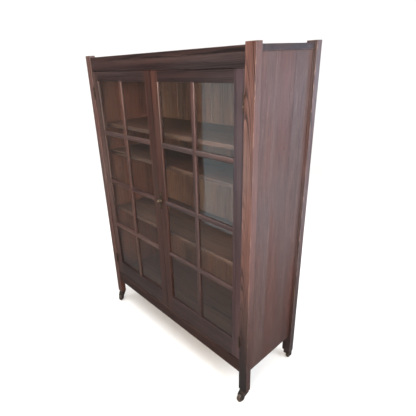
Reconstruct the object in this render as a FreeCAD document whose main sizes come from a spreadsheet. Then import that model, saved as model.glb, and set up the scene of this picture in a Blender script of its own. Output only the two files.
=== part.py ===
import FreeCAD, Part
import math
import os
import re
import Sketcher

# Glazed bookcase on casters, in millimetres. X runs across, the doors face -Y, Z is up.
# The origin is on the floor, under the middle of the case.

Vector = FreeCAD.Vector
Rotation = FreeCAD.Rotation

PANE_ROWS = 4
PANE_COLUMNS = 2
BACK_BOARDS = 8
PEG_HOLES = 13
SHELF_HOLES = {"lower_shelf": 1, "middle_shelf": 8, "upper_shelf": 11}
TOUCH = 1e-4

SIZES = {
    # Posts and overall case
    "case_width": 1026,
    "case_depth": 352,
    "post_length": 1360,
    "post_width": 40,
    "post_depth": 29,
    "post_edge": 1.5,
    "post_proud": 8,
    "caster_height": 60,
    "front_recess": 3,
    "fit_clearance": 0.1,
    # Top board and rails
    "top_thickness": 19,
    "top_side_recess": 8,
    "top_edge": 2,
    "rail_thickness": 20,
    "top_rail_height": 43,
    "bottom_rail_height": 65,
    "leg_clear": 89,
    "tenon_length": 20,
    "tenon_thickness": 9,
    "tenon_shoulder": 7,
    "rear_rail_thickness": 18,
    "rear_rail_height": 45,
    "rear_tenon_length": 6,
    # Side panels, bottom board and back
    "panel_recess": 14,
    "panel_thickness": 18,
    "panel_tongue": 8,
    "floor_thickness": 18,
    "housing_depth": 6,
    "back_thickness": 9,
    "back_recess": 3,
    "back_rebate": 10,
    "board_gap": 0.5,
    "board_bevel": 1.5,
    "board_tongue": 5,
    "board_tongue_thickness": 3,
    # Shelves and their pegs
    "shelf_thickness": 18,
    "shelf_setback": 55,
    "shelf_clearance": 1.5,
    "shelf_edge": 2.5,
    "peg_start": 350,
    "peg_pitch": 47,
    "peg_radius": 3,
    "peg_depth": 12,
    "peg_reach": 9,
    "peg_nose": 1.5,
    "peg_margin": 45,
    # Door frames
    "door_thickness": 20,
    "door_gap": 1.5,
    "hinge_gap": 2,
    "meeting_gap": 2,
    "stile_width": 42.5,
    "door_top_rail_height": 42,
    "door_bottom_rail_height": 85,
    "sight_bevel": 2.5,
    "glazing_depth": 7.5,
    "rebate_width": 8,
    "door_tenon_length": 26,
    "door_tenon_thickness": 7,
    "door_tenon_shoulder": 8,
    # Muntins, glass and beads
    "muntin_width": 20,
    "muntin_face": 15,
    "muntin_bevel": 2.5,
    "muntin_set_in": 0.5,
    "muntin_round": 1.5,
    "muntin_web": 5,
    "glass_thickness": 3,
    "glass_clearance": 1,
    "bead_width": 7,
    "bead_depth": 5,
    # Butt hinges
    "hinge_length": 54,
    "hinge_inset": 71,
    "knuckle_radius": 2.6,
    "knuckle_stand_off": 0.3,
    "knuckle_end_gap": 0.15,
    "hinge_pin_radius": 1.2,
    "finial_radius": 2,
    "leaf_thickness": 1.8,
    "leaf_gap": 0.4,
    "leaf_depth": 17,
    "running_clearance": 0.05,
    # Knob latch on the right door
    "latch_height": 809,
    "latch_inset": 10,
    "plate_width": 18,
    "plate_height": 82,
    "plate_thickness": 1.5,
    "plate_corner": 4,
    "spindle_radius": 3,
    "knob_radius": 9,
    "knob_reach": 22,
    "knob_gap": 0.3,
    "rose_radius": 6.5,
    "neck_radius": 4,
    "neck_length": 8,
    "latch_tongue_length": 30,
    "latch_tongue_width": 12,
    "latch_tongue_thickness": 3,
    "latch_tongue_gap": 0.3,
    # Bolt on the back of the left door, and the stop strip that keeps it
    "stop_depth": 12.5,
    "stop_lap": 10,
    "stop_clearance": 0.5,
    "bolt_radius": 3,
    "bolt_inset": 17,
    "bolt_travel": 14,
    "bolt_rest_gap": 1.5,
    "bolt_tail": 3,
    "bolt_guide_length": 60,
    "bolt_guide_width": 16,
    "bolt_guide_thickness": 1.5,
    "bolt_guide_drop": 14,
    "strap_height": 8,
    "strap_depth": 10,
    "thumb_height": 18,
    "thumb_radius": 2,
    "thumb_reach": 9,
    "thumb_ball_radius": 3.2,
    "keeper_thickness": 1.5,
    "keeper_width": 20,
    "keeper_clearance": 0.6,
    # Casters
    "caster_trail": 19,
    "wheel_radius": 19,
    "wheel_width": 19,
    "rim_width": 15,
    "tread_width": 9,
    "tread_shoulder": 2.5,
    "hub_radius": 7.5,
    "hub_slope": 1.5,
    "axle_radius": 2.5,
    "axle_head_radius": 4,
    "axle_head_thickness": 1.5,
    "horn_thickness": 3,
    "horn_side_gap": 0.6,
    "horn_arm_half": 6.5,
    "horn_knee_rise": 17,
    "horn_throat_rise": 7,
    "horn_knee_round": 14,
    "horn_throat_round": 12,
    "horn_end_round": 6.2,
    "crown_radius": 13,
    "crown_thickness": 13,
    "crown_plate": 14.5,
    "stem_radius": 4,
    "stem_length": 32,
    "socket_radius": 6,
    "socket_depth": 36,
    "flange_radius": 14,
    "flange_thickness": 3,
    "swivel_gap": 0.3,
    "front_left_turn": 25,
    "front_right_turn": 350,
    "rear_left_turn": 170,
    "rear_right_turn": 190,
}

# Places worked out from the sizes, for the right half of the case; the left half is its mirror image.
PLACES = {
    "front": "-case_depth / 2",
    "back": "case_depth / 2",
    "side": "case_width / 2",
    "foot": "caster_height",
    "post_top": "foot + post_length",
    "post_inner": "side - post_width",
    "post_behind": "front + post_depth",
    "rear_post_front": "back - post_depth",
    "top_upper": "post_top - post_proud",
    "top_lower": "top_upper - top_thickness",
    "face": "front + front_recess",
    "rail_middle": "face + rail_thickness / 2",
    "base_lower": "foot + leg_clear",
    "base_upper": "base_lower + bottom_rail_height",
    "head_lower": "top_lower - top_rail_height",
    "panel_outer": "side - panel_recess",
    "panel_inner": "panel_outer - panel_thickness",
    "floor_upper": "base_upper",
    "floor_lower": "floor_upper - floor_thickness",
    "back_front": "back - back_recess - back_thickness",
    "back_behind": "back - back_recess",
    "rear_rail_front": "back_front - rear_rail_thickness",
    "rear_rail_middle": "back_front - rear_rail_thickness / 2",
    "board_span": "2 * (post_inner + back_rebate)",
    "shelf_front": "front + shelf_setback",
    "shelf_behind": "back_front - shelf_clearance",
    "shelf_end": "panel_inner - shelf_clearance",
    "door_back": "face + door_thickness",
    "door_low": "base_upper + door_gap",
    "door_high": "head_lower - door_gap",
    "hinge_edge": "post_inner - hinge_gap",
    "meeting_edge": "meeting_gap / 2",
    "sight_inner": "meeting_edge + stile_width",
    "sight_outer": "hinge_edge - stile_width",
    "sight_low": "door_low + door_bottom_rail_height",
    "sight_high": "door_high - door_top_rail_height",
    "door_tenon_middle": "face + door_thickness / 2",
    "glass_front": "face + glazing_depth",
    "glass_back": "glass_front + glass_thickness",
    "bead_back": "glass_back + bead_depth",
    "glass_lap": "rebate_width - glass_clearance",
    "web_side": "muntin_web / 2 + glass_clearance",
    "column_pitch": f"(sight_outer - sight_inner + muntin_width) / {PANE_COLUMNS}",
    "row_pitch": f"(sight_high - sight_low + muntin_width) / {PANE_ROWS}",
    "hinge_x": "post_inner - hinge_gap / 2",
    "hinge_y": "front - knuckle_radius - knuckle_stand_off",
    "leaf_back": "face + leaf_depth",
    "case_leaf_low": "hinge_x + leaf_gap / 2",
    "case_leaf_high": "case_leaf_low + leaf_thickness",
    "door_leaf_high": "hinge_x - leaf_gap / 2",
    "door_leaf_low": "door_leaf_high - leaf_thickness",
    "latch_x": "meeting_edge + latch_inset",
    "plate_front": "face - plate_thickness",
    "latch_tongue_front": "door_back + latch_tongue_gap",
    "latch_tongue_back": "latch_tongue_front + latch_tongue_thickness",
    "stop_front": "door_back + stop_clearance",
    "stop_lower": "door_high - stop_lap",
    "bolt_x": "-meeting_edge - bolt_inset",
    "bolt_y": "door_back + bolt_guide_thickness + strap_depth / 2",
    "guide_top": "stop_lower - bolt_guide_drop",
    "guide_bottom": "guide_top - bolt_guide_length",
    "keeper_lower": "stop_lower - keeper_thickness",
    "caster_x": "side - post_width / 2",
    "caster_y": "back - post_depth / 2",
    "crown_top": "caster_height - flange_thickness - swivel_gap",
    "horn_gap": "wheel_width + 2 * horn_side_gap",
    "horn_width": "horn_gap + 2 * horn_thickness",
}

doc = FreeCAD.newDocument("bookcase")
sheet = doc.addObject("Spreadsheet::Sheet", "sizes")
for row, (alias, number) in enumerate(SIZES.items(), start=1):
    sheet.set(f"A{row}", alias)
    sheet.set(f"B{row}", str(number))
    sheet.setAlias(f"B{row}", alias)
doc.recompute()

nodes = []


def formula(text):
    """Spell a formula out in cells of the sheet."""
    def spell(match):
        word = match.group(0)
        if word in SIZES:
            return f"sizes.{word}"
        return f"({formula(PLACES[word])})"
    return re.sub(r"[a-z][a-z_]*", spell, text)


def bind(item, path, text):
    item.setExpression(path, formula(text))


def place(item, start):
    for axis, text in zip("xyz", start):
        bind(item, f"Placement.Base.{axis}", text)


def node(label, item):
    """Hand a finished piece in under its own name."""
    item.Label = label
    nodes.append(item)
    return item


# Plain shapes

DIRECTIONS = {"x": Vector(1, 0, 0), "y": Vector(0, 1, 0), "-y": Vector(0, -1, 0), "z": Vector(0, 0, 1)}


def block(name, x, y, z):
    """A box from its lower and upper limits along each axis."""
    box = doc.addObject("Part::Box", name)
    for side, (low, high) in zip(("Length", "Width", "Height"), (x, y, z)):
        bind(box, side, f"({high}) - ({low})")
    place(box, (x[0], y[0], z[0]))
    return box


def turned_solid(kind, name, start, along, **measures):
    item = doc.addObject(kind, name)
    item.Placement = FreeCAD.Placement(Vector(), Rotation(DIRECTIONS["z"], DIRECTIONS[along]))
    for path, text in measures.items():
        bind(item, path, text)
    place(item, start)
    return item


def rod(name, radius, start, length, along="z"):
    return turned_solid("Part::Cylinder", name, start, along, Radius=radius, Height=length)


def taper(name, first_radius, last_radius, start, length, along="z"):
    return turned_solid("Part::Cone", name, start, along, Radius1=first_radius, Radius2=last_radius,
                        Height=length)


def ball(name, radius, centre):
    return turned_solid("Part::Sphere", name, centre, "z", Radius=radius)


def group(name, items):
    compound = doc.addObject("Part::Compound", name)
    compound.Links = items
    return compound


def join(name, items):
    fused = doc.addObject("Part::MultiFuse", name)
    fused.Shapes = items
    return fused


def cut(name, base, *tools):
    """Take each tool off in turn."""
    for number, tool in enumerate(tools, start=1):
        left = doc.addObject("Part::Cut", f"{name}_cut_{number}")
        left.Base = base
        left.Tool = tool
        base = left
    return base


def mirrored(name, source):
    """The same piece on the other side of the case."""
    image = doc.addObject("Part::Mirroring", name)
    image.Source = source
    image.Base = Vector()
    image.Normal = DIRECTIONS["x"]
    return image


# Drawn profiles

def origin_feature(body, role):
    return next(item for item in body.Origin.OriginFeatures if item.Role == role)


def drawn(name, plane, corners):
    """A body with a closed sketch whose corners are held by formulas."""
    body = doc.addObject("PartDesign::Body", name)
    sketch = body.newObject("Sketcher::SketchObject", f"{name}_outline")
    sketch.AttachmentSupport = (origin_feature(body, plane), [""])
    sketch.MapMode = "FlatFace"
    count = len(corners)
    turns = [2 * math.pi * number / count for number in range(count)]
    rough = [Vector(math.cos(turn), math.sin(turn), 0) for turn in turns]
    for number in range(count):
        sketch.addGeometry(Part.LineSegment(rough[number], rough[(number + 1) % count]))
    for number in range(count):
        sketch.addConstraint(Sketcher.Constraint("Coincident", number, 2, (number + 1) % count, 1))
    for number, corner in enumerate(corners):
        for kind, text in zip(("DistanceX", "DistanceY"), corner):
            held = sketch.addConstraint(Sketcher.Constraint(kind, -1, 1, number, 1, 1.0))
            bind(sketch, f"Constraints[{held}]", text)
    return body, sketch


def padded(name, plane, corners, length, symmetric=False):
    body, sketch = drawn(name, plane, corners)
    pad = body.newObject("PartDesign::Pad", f"{name}_pad")
    pad.Profile = sketch
    if symmetric:
        pad.SideType = "Symmetric"
    bind(pad, "Length", length)
    return body


def dress(body, kind, measure, size, wanted):
    """Chamfer or fillet the edges of a body that answer to a test of their middle and direction."""
    doc.recompute()
    base = body.Tip
    limits = base.Shape.BoundBox
    chosen = []
    for number, edge in enumerate(base.Shape.Edges, start=1):
        if wanted(edge.BoundBox, limits):
            chosen.append(f"Edge{number}")
    feature = body.newObject(f"PartDesign::{kind}", f"{body.Name}_{kind.lower()}")
    feature.Base = (base, chosen)
    bind(feature, measure, size)


def near(one, other):
    return abs(one - other) < TOUCH


def along_x(edge):
    return edge.XLength > TOUCH and edge.YLength < TOUCH and edge.ZLength < TOUCH


def along_z(edge):
    return edge.ZLength > TOUCH and edge.XLength < TOUCH and edge.YLength < TOUCH


# Case

def make_post(name, front_place, inside_at_back):
    """A post of the right side, with rounded edges all round but at its corner inside the case."""
    behind = f"{front_place} + post_depth"
    outline = [("post_inner", front_place), ("side", front_place), ("side", behind), ("post_inner", behind)]
    body = padded(f"{name}_blank", "XY_Plane", outline, "post_length")
    bind(body, "Placement.Base.z", "foot")

    def worn(edge, limits):
        if not along_z(edge):
            return near(edge.ZMin, limits.ZMax)
        inside_y = limits.YMax if inside_at_back else limits.YMin
        return not (near(edge.XMin, limits.XMin) and near(edge.YMin, inside_y))

    dress(body, "Fillet", "Radius", "post_edge", worn)
    return body


def tenon_bar(name, half_length, middle, thickness, z):
    """The tenons at both ends of a rail, as one bar through it."""
    return block(name, (f"-({half_length})", half_length),
                 (f"{middle} - {thickness} / 2", f"{middle} + {thickness} / 2"), z)


def mortise(name, middle, length, z):
    """The hole in a post of the right side for a rail's tenon."""
    half = "(tenon_thickness / 2 + fit_clearance)"
    return block(name, ("post_inner", f"post_inner + {length} + fit_clearance"),
                 (f"{middle} - {half}", f"{middle} + {half}"),
                 (f"{z[0]} - fit_clearance", f"{z[1]} + fit_clearance"))


def shoulders(z):
    return f"{z[0]} + tenon_shoulder", f"{z[1]} - tenon_shoulder"


TOP_RAIL_Z = ("head_lower", "top_lower")
BOTTOM_RAIL_Z = ("base_lower", "base_upper")
REAR_TOP_RAIL_Z = ("top_lower - rear_rail_height", "top_lower")
REAR_BOTTOM_RAIL_Z = ("floor_lower - rear_rail_height", "floor_lower")


def make_posts():
    panel_x = ("panel_inner - fit_clearance", "panel_outer + fit_clearance")
    panel_z = ("base_lower - fit_clearance", "top_lower")
    bore = "socket_radius + fit_clearance"
    bore_length = "socket_depth + fit_clearance"
    front_post = cut(
        "front_post", make_post("front_post", "front", True),
        block("front_groove", panel_x,
              ("post_behind - panel_tongue - fit_clearance", "post_behind"), panel_z),
        mortise("top_rail_mortise", "rail_middle", "tenon_length", shoulders(TOP_RAIL_Z)),
        mortise("bottom_rail_mortise", "rail_middle", "tenon_length", shoulders(BOTTOM_RAIL_Z)),
        rod("front_caster_bore", bore, ("caster_x", "-caster_y", "foot"), bore_length),
        hinge_recess("post_hinge_recess", ("post_inner", "case_leaf_high + fit_clearance")))
    rear_post = cut(
        "rear_post", make_post("rear_post", "rear_post_front", False),
        block("rear_groove", panel_x,
              ("rear_post_front", "rear_post_front + panel_tongue + fit_clearance"), panel_z),
        block("back_rebate_cut", ("post_inner", "post_inner + back_rebate"), ("back_front", "back"),
              ("base_lower - fit_clearance", "top_lower")),
        mortise("rear_top_mortise", "rear_rail_middle", "rear_tenon_length", shoulders(REAR_TOP_RAIL_Z)),
        mortise("rear_bottom_mortise", "rear_rail_middle", "rear_tenon_length",
                shoulders(REAR_BOTTOM_RAIL_Z)),
        rod("rear_caster_bore", bore, ("caster_x", "caster_y", "foot"), bore_length))
    node("front_right_post", front_post)
    node("rear_right_post", rear_post)
    node("front_left_post", mirrored("front_left_post_image", front_post))
    node("rear_left_post", mirrored("rear_left_post_image", rear_post))


def make_top():
    notch_x = "(post_inner - fit_clearance)"
    notch_y = "(rear_post_front - fit_clearance)"
    end_x = "(side - top_side_recess)"
    edge_y = "(back - front_recess)"
    quarter = [(notch_x, edge_y), (notch_x, notch_y), (end_x, notch_y)]
    outline = list(quarter)
    outline += [(x, f"-{y}") for x, y in reversed(quarter)]
    outline += [(f"-{x}", f"-{y}") for x, y in quarter]
    outline += [(f"-{x}", y) for x, y in reversed(quarter)]
    body = padded("top_blank", "XY_Plane", outline, "top_thickness")
    bind(body, "Placement.Base.z", "top_lower")

    def outer_upper(edge, limits):
        on_end = near(edge.XMin, limits.XMax) or near(edge.XMax, limits.XMin)
        on_edge = near(edge.YMin, limits.YMax) or near(edge.YMax, limits.YMin)
        return near(edge.ZMin, limits.ZMax) and (on_end or on_edge)

    dress(body, "Fillet", "Radius", "top_edge", outer_upper)
    node("top_board", body)


def make_rail(name, y, middle, tenon_length, z):
    half = "post_inner"
    body = block(f"{name}_blank", (f"-{half}", half), y, z)
    bar = tenon_bar(f"{name}_tenons", f"{half} + {tenon_length}", middle, "tenon_thickness", shoulders(z))
    node(name, join(f"{name}_joined", [body, bar]))


def make_rails():
    front_y = ("face", "face + rail_thickness")
    rear_y = ("rear_rail_front", "back_front")
    make_rail("top_rail", front_y, "rail_middle", "tenon_length", TOP_RAIL_Z)
    make_rail("bottom_rail", front_y, "rail_middle", "tenon_length", BOTTOM_RAIL_Z)
    make_rail("rear_top_rail", rear_y, "rear_rail_middle", "rear_tenon_length", REAR_TOP_RAIL_Z)
    make_rail("rear_bottom_rail", rear_y, "rear_rail_middle", "rear_tenon_length", REAR_BOTTOM_RAIL_Z)


def peg_places():
    return {"front": "shelf_front + peg_margin", "rear": "shelf_behind - peg_margin"}


def support_height(hole):
    """Where the underside of a shelf lies on the pegs of one hole."""
    return f"floor_upper + peg_start + {hole} * peg_pitch"


def make_side_panels():
    blank = block("panel_blank", ("panel_inner", "panel_outer"),
                  ("post_behind - panel_tongue", "rear_post_front + panel_tongue"),
                  ("base_lower", "top_lower"))
    housing = block("panel_housing", ("panel_inner", "panel_inner + housing_depth + fit_clearance"),
                    ("post_behind", "rear_post_front"),
                    ("floor_lower - fit_clearance", "floor_upper + fit_clearance"))
    holes = []
    for side, y in peg_places().items():
        for hole in range(PEG_HOLES):
            start = ("panel_inner", y, f"{support_height(hole)} - peg_radius")
            holes.append(rod(f"{side}_peg_hole_{hole}", "peg_radius + fit_clearance", start,
                             "peg_depth + fit_clearance", "x"))
    panel = cut("side_panel", blank, housing, group("peg_holes", holes))
    node("right_side_panel", panel)
    node("left_side_panel", mirrored("left_side_panel_image", panel))


def post_outline(name, half, y, clearance, z):
    """The space that a post takes out of a board beside it."""
    inner = f"post_inner - {clearance}"
    x = (inner, "side") if half == "right" else ("-side", f"-({inner})")
    return block(name, x, y, z)


def make_bottom_board():
    end = "panel_inner + housing_depth"
    z = ("floor_lower", "floor_upper")
    board = block("bottom_blank", (f"-({end})", end), ("stop_front", "back_front"), z)
    notches = []
    for half in ("left", "right"):
        notches.append(post_outline(f"{half}_front_notch", half, ("front", "post_behind + fit_clearance"),
                                    "fit_clearance", z))
        notches.append(post_outline(f"{half}_rear_notch", half, ("rear_post_front - fit_clearance", "back"),
                                    "fit_clearance", z))
    node("bottom_board", cut("bottom_board", board, *notches))


def make_back():
    """Upright boards, tongued into each other, with a small V at each joint on the inside."""
    width = f"(board_span / {BACK_BOARDS})"
    z = ("base_lower", "top_lower")
    middle = "back_front + back_thickness / 2"
    tongue_half = "board_tongue_thickness / 2"
    boards = []
    for number in range(BACK_BOARDS):
        left = f"(-board_span / 2 + board_gap / 2 + {number} * {width})"
        right = f"({left} + {width} - board_gap)"
        outline = [
            (f"{left} + board_bevel", "back_front"), (f"{right} - board_bevel", "back_front"),
            (right, "back_front + board_bevel"), (right, "back_behind"),
            (left, "back_behind"), (left, "back_front + board_bevel")]
        board = padded(f"board_{number}_blank", "XY_Plane", outline, f"{z[1]} - ({z[0]})")
        bind(board, "Placement.Base.z", z[0])
        if number < BACK_BOARDS - 1:
            tongue = block(f"board_{number}_tongue", (f"{right} - board_tongue", f"{right} + board_tongue"),
                           (f"{middle} - {tongue_half}", f"{middle} + {tongue_half}"), z)
            board = join(f"board_{number}_tongued", [board, tongue])
        if number > 0:
            groove = block(f"board_{number}_groove", (left, f"{left} + board_tongue"),
                           (f"{middle} - {tongue_half} - fit_clearance",
                            f"{middle} + {tongue_half} + fit_clearance"), z)
            board = cut(f"board_{number}", board, groove)
        boards.append(board)
    node("back_boards", group("back_boards_group", boards))


def make_shelf(name, hole):
    outline = [("shelf_front", "0"), ("shelf_behind", "0"),
               ("shelf_behind", "shelf_thickness"), ("shelf_front", "shelf_thickness")]
    body = padded(f"{name}_blank", "YZ_Plane", outline, "2 * shelf_end")
    place(body, ("-shelf_end", "0", support_height(hole)))

    def front_edge(edge, limits):
        return along_x(edge) and near(edge.YMin, limits.YMin)

    dress(body, "Fillet", "Radius", "shelf_edge", front_edge)
    z = (support_height(hole), f"{support_height(hole)} + shelf_thickness")
    y = ("rear_post_front - shelf_clearance", "back")
    notches = [post_outline(f"{name}_{half}_notch", half, y, "shelf_clearance", z)
               for half in ("left", "right")]
    node(name, cut(name, body, *notches))


def make_pegs():
    pegs = []
    for shelf, hole in SHELF_HOLES.items():
        for side, y in peg_places().items():
            name = f"{shelf}_{side}_peg"
            z = f"{support_height(hole)} - peg_radius"
            stick = rod(f"{name}_stick", "peg_radius", ("panel_inner - peg_reach", y, z),
                        "peg_reach + peg_depth", "x")
            nose = taper(f"{name}_nose", "peg_radius - peg_nose", "peg_radius",
                         ("panel_inner - peg_reach - peg_nose", y, z), "peg_nose", "x")
            peg = join(name, [stick, nose])
            pegs += [peg, mirrored(f"left_{name}", peg)]
    node("shelf_pegs", group("shelf_pegs_group", pegs))


def make_door_stop():
    y = ("stop_front", "stop_front + stop_depth")
    hole = "bolt_radius + keeper_clearance"
    strip = block("stop_blank", ("-hinge_edge", "hinge_edge"), y, ("stop_lower", "top_lower"))
    socket = rod("bolt_socket", hole, ("bolt_x", "bolt_y", "stop_lower"), "bolt_travel + bolt_rest_gap")
    node("door_stop", cut("door_stop", strip, socket))
    plate = block("keeper_blank", ("bolt_x - keeper_width / 2", "bolt_x + keeper_width / 2"), y,
                  ("keeper_lower", "stop_lower"))
    opening = rod("keeper_opening", hole, ("bolt_x", "bolt_y", "keeper_lower"), "keeper_thickness")
    node("bolt_keeper", cut("bolt_keeper", plate, opening))


# Hinges

HINGE_FOOTS = {"lower": "door_low + hinge_inset", "upper": "door_high - hinge_inset - hinge_length"}
KNUCKLE = "hinge_length / 3"


def hinge_recess(name, x):
    """The two shallow recesses that take the leaves, as one tool."""
    recesses = []
    for which, foot in HINGE_FOOTS.items():
        z = (f"{foot} - fit_clearance", f"{foot} + hinge_length + fit_clearance")
        recesses.append(block(f"{which}_{name}", x, ("front", "leaf_back + fit_clearance"), z))
    return group(name, recesses)


def hinge_barrel(name, radius, foot, start, length):
    return rod(name, radius, ("hinge_x", "hinge_y", f"{foot} + {start}"), length)


def make_hinges():
    case_leaves = []
    door_leaves = []
    pins = []
    room = "knuckle_radius + knuckle_stand_off"
    for which, foot in HINGE_FOOTS.items():
        z = (foot, f"{foot} + hinge_length")
        y = ("hinge_y", "leaf_back")
        bore = hinge_barrel(f"{which}_hinge_bore", "hinge_pin_radius + running_clearance", foot, "0",
                            "hinge_length")

        plate = block(f"{which}_case_plate", ("case_leaf_low", "case_leaf_high"), y, z)
        way = hinge_barrel(f"{which}_case_way", room, foot, f"{KNUCKLE} - knuckle_end_gap",
                           f"{KNUCKLE} + 2 * knuckle_end_gap")
        ends = [hinge_barrel(f"{which}_case_knuckle_{number}", "knuckle_radius", foot, start,
                             f"{KNUCKLE} - knuckle_end_gap")
                for number, start in enumerate(("0", f"2 * {KNUCKLE} + knuckle_end_gap"))]
        leaf = join(f"{which}_case_leaf", [cut(f"{which}_case_plate", plate, way)] + ends)
        case_leaves.append(cut(f"{which}_case_leaf", leaf, bore))

        plate = block(f"{which}_door_plate", ("door_leaf_low", "door_leaf_high"), y, z)
        ways = [hinge_barrel(f"{which}_door_way_{number}", room, foot, start, KNUCKLE)
                for number, start in enumerate(("0", f"2 * {KNUCKLE}"))]
        middle = hinge_barrel(f"{which}_door_knuckle", "knuckle_radius", foot, KNUCKLE, KNUCKLE)
        leaf = join(f"{which}_door_leaf", [cut(f"{which}_door_plate", plate, *ways), middle])
        door_leaves.append(cut(f"{which}_door_leaf", leaf, bore))

        shaft = hinge_barrel(f"{which}_hinge_shaft", "hinge_pin_radius", foot, "-finial_radius",
                             "hinge_length + 2 * finial_radius")
        finials = [ball(f"{which}_finial_{number}", "finial_radius", ("hinge_x", "hinge_y", z_end))
                   for number, z_end in enumerate((f"{foot} - finial_radius",
                                                   f"{foot} + hinge_length + finial_radius"))]
        pins.append(join(f"{which}_hinge_pin", [shaft] + finials))
    for label, items in (("case_hinge_leaves", case_leaves), ("door_hinge_leaves", door_leaves),
                         ("hinge_pins", pins)):
        right = node(f"right_{label}", group(f"right_{label}_group", items))
        node(f"left_{label}", mirrored(f"left_{label}_image", right))


# Doors

def rail_tenon_z(low, high, sight_below):
    """A door rail's tenon keeps clear of the rebate on its glass side."""
    if sight_below:
        return f"{low} + rebate_width", f"{high} - door_tenon_shoulder"
    return f"{low} + door_tenon_shoulder", f"{high} - rebate_width"


DOOR_RAILS = {
    "top": (("sight_high", "door_high"), rail_tenon_z("sight_high", "door_high", True)),
    "bottom": (("door_low", "sight_low"), rail_tenon_z("door_low", "sight_low", False)),
}
DOOR_Y = ("face", "door_back")


def make_sight_bevel():
    """The bevel round the front of the glazed opening, as one tapered tool for stiles and rails."""
    bevel = doc.addObject("Part::Wedge", "sight_bevel_tool")
    limits = {
        "Xmin": "sight_inner - sight_bevel", "Xmax": "sight_outer + sight_bevel",
        "Zmin": "sight_low - sight_bevel", "Zmax": "sight_high + sight_bevel",
        "X2min": "sight_inner", "X2max": "sight_outer", "Z2min": "sight_low", "Z2max": "sight_high",
        "Ymin": "face", "Ymax": "face + sight_bevel"}
    for path, text in limits.items():
        bind(bevel, path, text)
    return bevel


def make_rebate():
    """The step behind the opening that takes glass and beads."""
    return block("glazing_rebate", ("sight_inner - rebate_width", "sight_outer + rebate_width"),
                 ("glass_front", "door_back"), ("sight_low - rebate_width", "sight_high + rebate_width"))


def make_stile(name, x, mortise_x, bevel, rebate):
    half = "(door_tenon_thickness / 2 + fit_clearance)"
    y = (f"door_tenon_middle - {half}", f"door_tenon_middle + {half}")
    mortises = []
    for which, (_, tenon_z) in DOOR_RAILS.items():
        z = (f"{tenon_z[0]} - fit_clearance", f"{tenon_z[1]} + fit_clearance")
        mortises.append(block(f"{name}_{which}_mortise", mortise_x, y, z))
    blank = block(f"{name}_blank", x, DOOR_Y, ("door_low", "door_high"))
    return cut(name, blank, bevel, rebate, *mortises)


def make_door_rail(which, bevel, rebate):
    z, tenon_z = DOOR_RAILS[which]
    blank = block(f"door_{which}_blank", ("sight_inner", "sight_outer"), DOOR_Y, z)
    tenons = block(f"door_{which}_tenons",
                   ("sight_inner - door_tenon_length", "sight_outer + door_tenon_length"),
                   ("door_tenon_middle - door_tenon_thickness / 2",
                    "door_tenon_middle + door_tenon_thickness / 2"), tenon_z)
    return join(f"door_{which}_rail", [cut(f"door_{which}_rail", blank, bevel, rebate), tenons])


def muntin_outline(across):
    """Half-and-half section of a glazing bar: bevelled nose, shoulders for the glass, web between panes."""
    nose = "face + muntin_set_in"
    half = [
        ("muntin_face / 2", nose), ("muntin_width / 2", f"{nose} + muntin_bevel"),
        ("muntin_width / 2", "glass_front"), ("muntin_web / 2", "glass_front"),
        ("muntin_web / 2", "bead_back")]
    section = half + [(f"-{offset}", depth) for offset, depth in reversed(half)]
    if across:
        return [(depth, offset) for offset, depth in section]
    return section


def column_place(number):
    return f"(sight_inner + {number} * column_pitch - muntin_width / 2)"


def row_place(number):
    return f"(sight_low + {number} * row_pitch - muntin_width / 2)"


def pane_limits(number, count, low_edge, high_edge, bar_place):
    """Edges of one pane along X or Z: lapped into the rebate at the frame, clear of the web at a bar."""
    low = f"{low_edge} - glass_lap" if number == 0 else f"{bar_place(number)} + web_side"
    last = number == count - 1
    high = f"{high_edge} + glass_lap" if last else f"{bar_place(number + 1)} - web_side"
    return low, high


def make_bar(name, across, length):
    """A glazing bar with a rounded nose, a little long at both ends so that it can be coped."""
    plane, lengthwise = ("YZ_Plane", along_x) if across else ("XY_Plane", along_z)
    body = padded(name, plane, muntin_outline(across), f"{length} + 2 * sight_bevel")

    def nose_edge(edge, limits):
        return lengthwise(edge) and near(edge.YMin, limits.YMin)

    dress(body, "Fillet", "Radius", "muntin_round", nose_edge)
    return body


def make_glazing():
    panes = []
    beads = []
    for column in range(PANE_COLUMNS):
        x = pane_limits(column, PANE_COLUMNS, "sight_inner", "sight_outer", column_place)
        for row in range(PANE_ROWS):
            z = pane_limits(row, PANE_ROWS, "sight_low", "sight_high", row_place)
            name = f"pane_{column}_{row}"
            panes.append(block(name, x, ("glass_front", "glass_back"), z))
            y = ("glass_back", "bead_back")
            inside = [(f"{low} + bead_width", f"{high} - bead_width") for low, high in (x, z)]
            rim = block(f"{name}_rim", x, y, z)
            beads.append(cut(f"{name}_bead", rim, block(f"{name}_inside", inside[0], y, inside[1])))
    return group("panes_group", panes), group("beads_group", beads)


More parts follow.
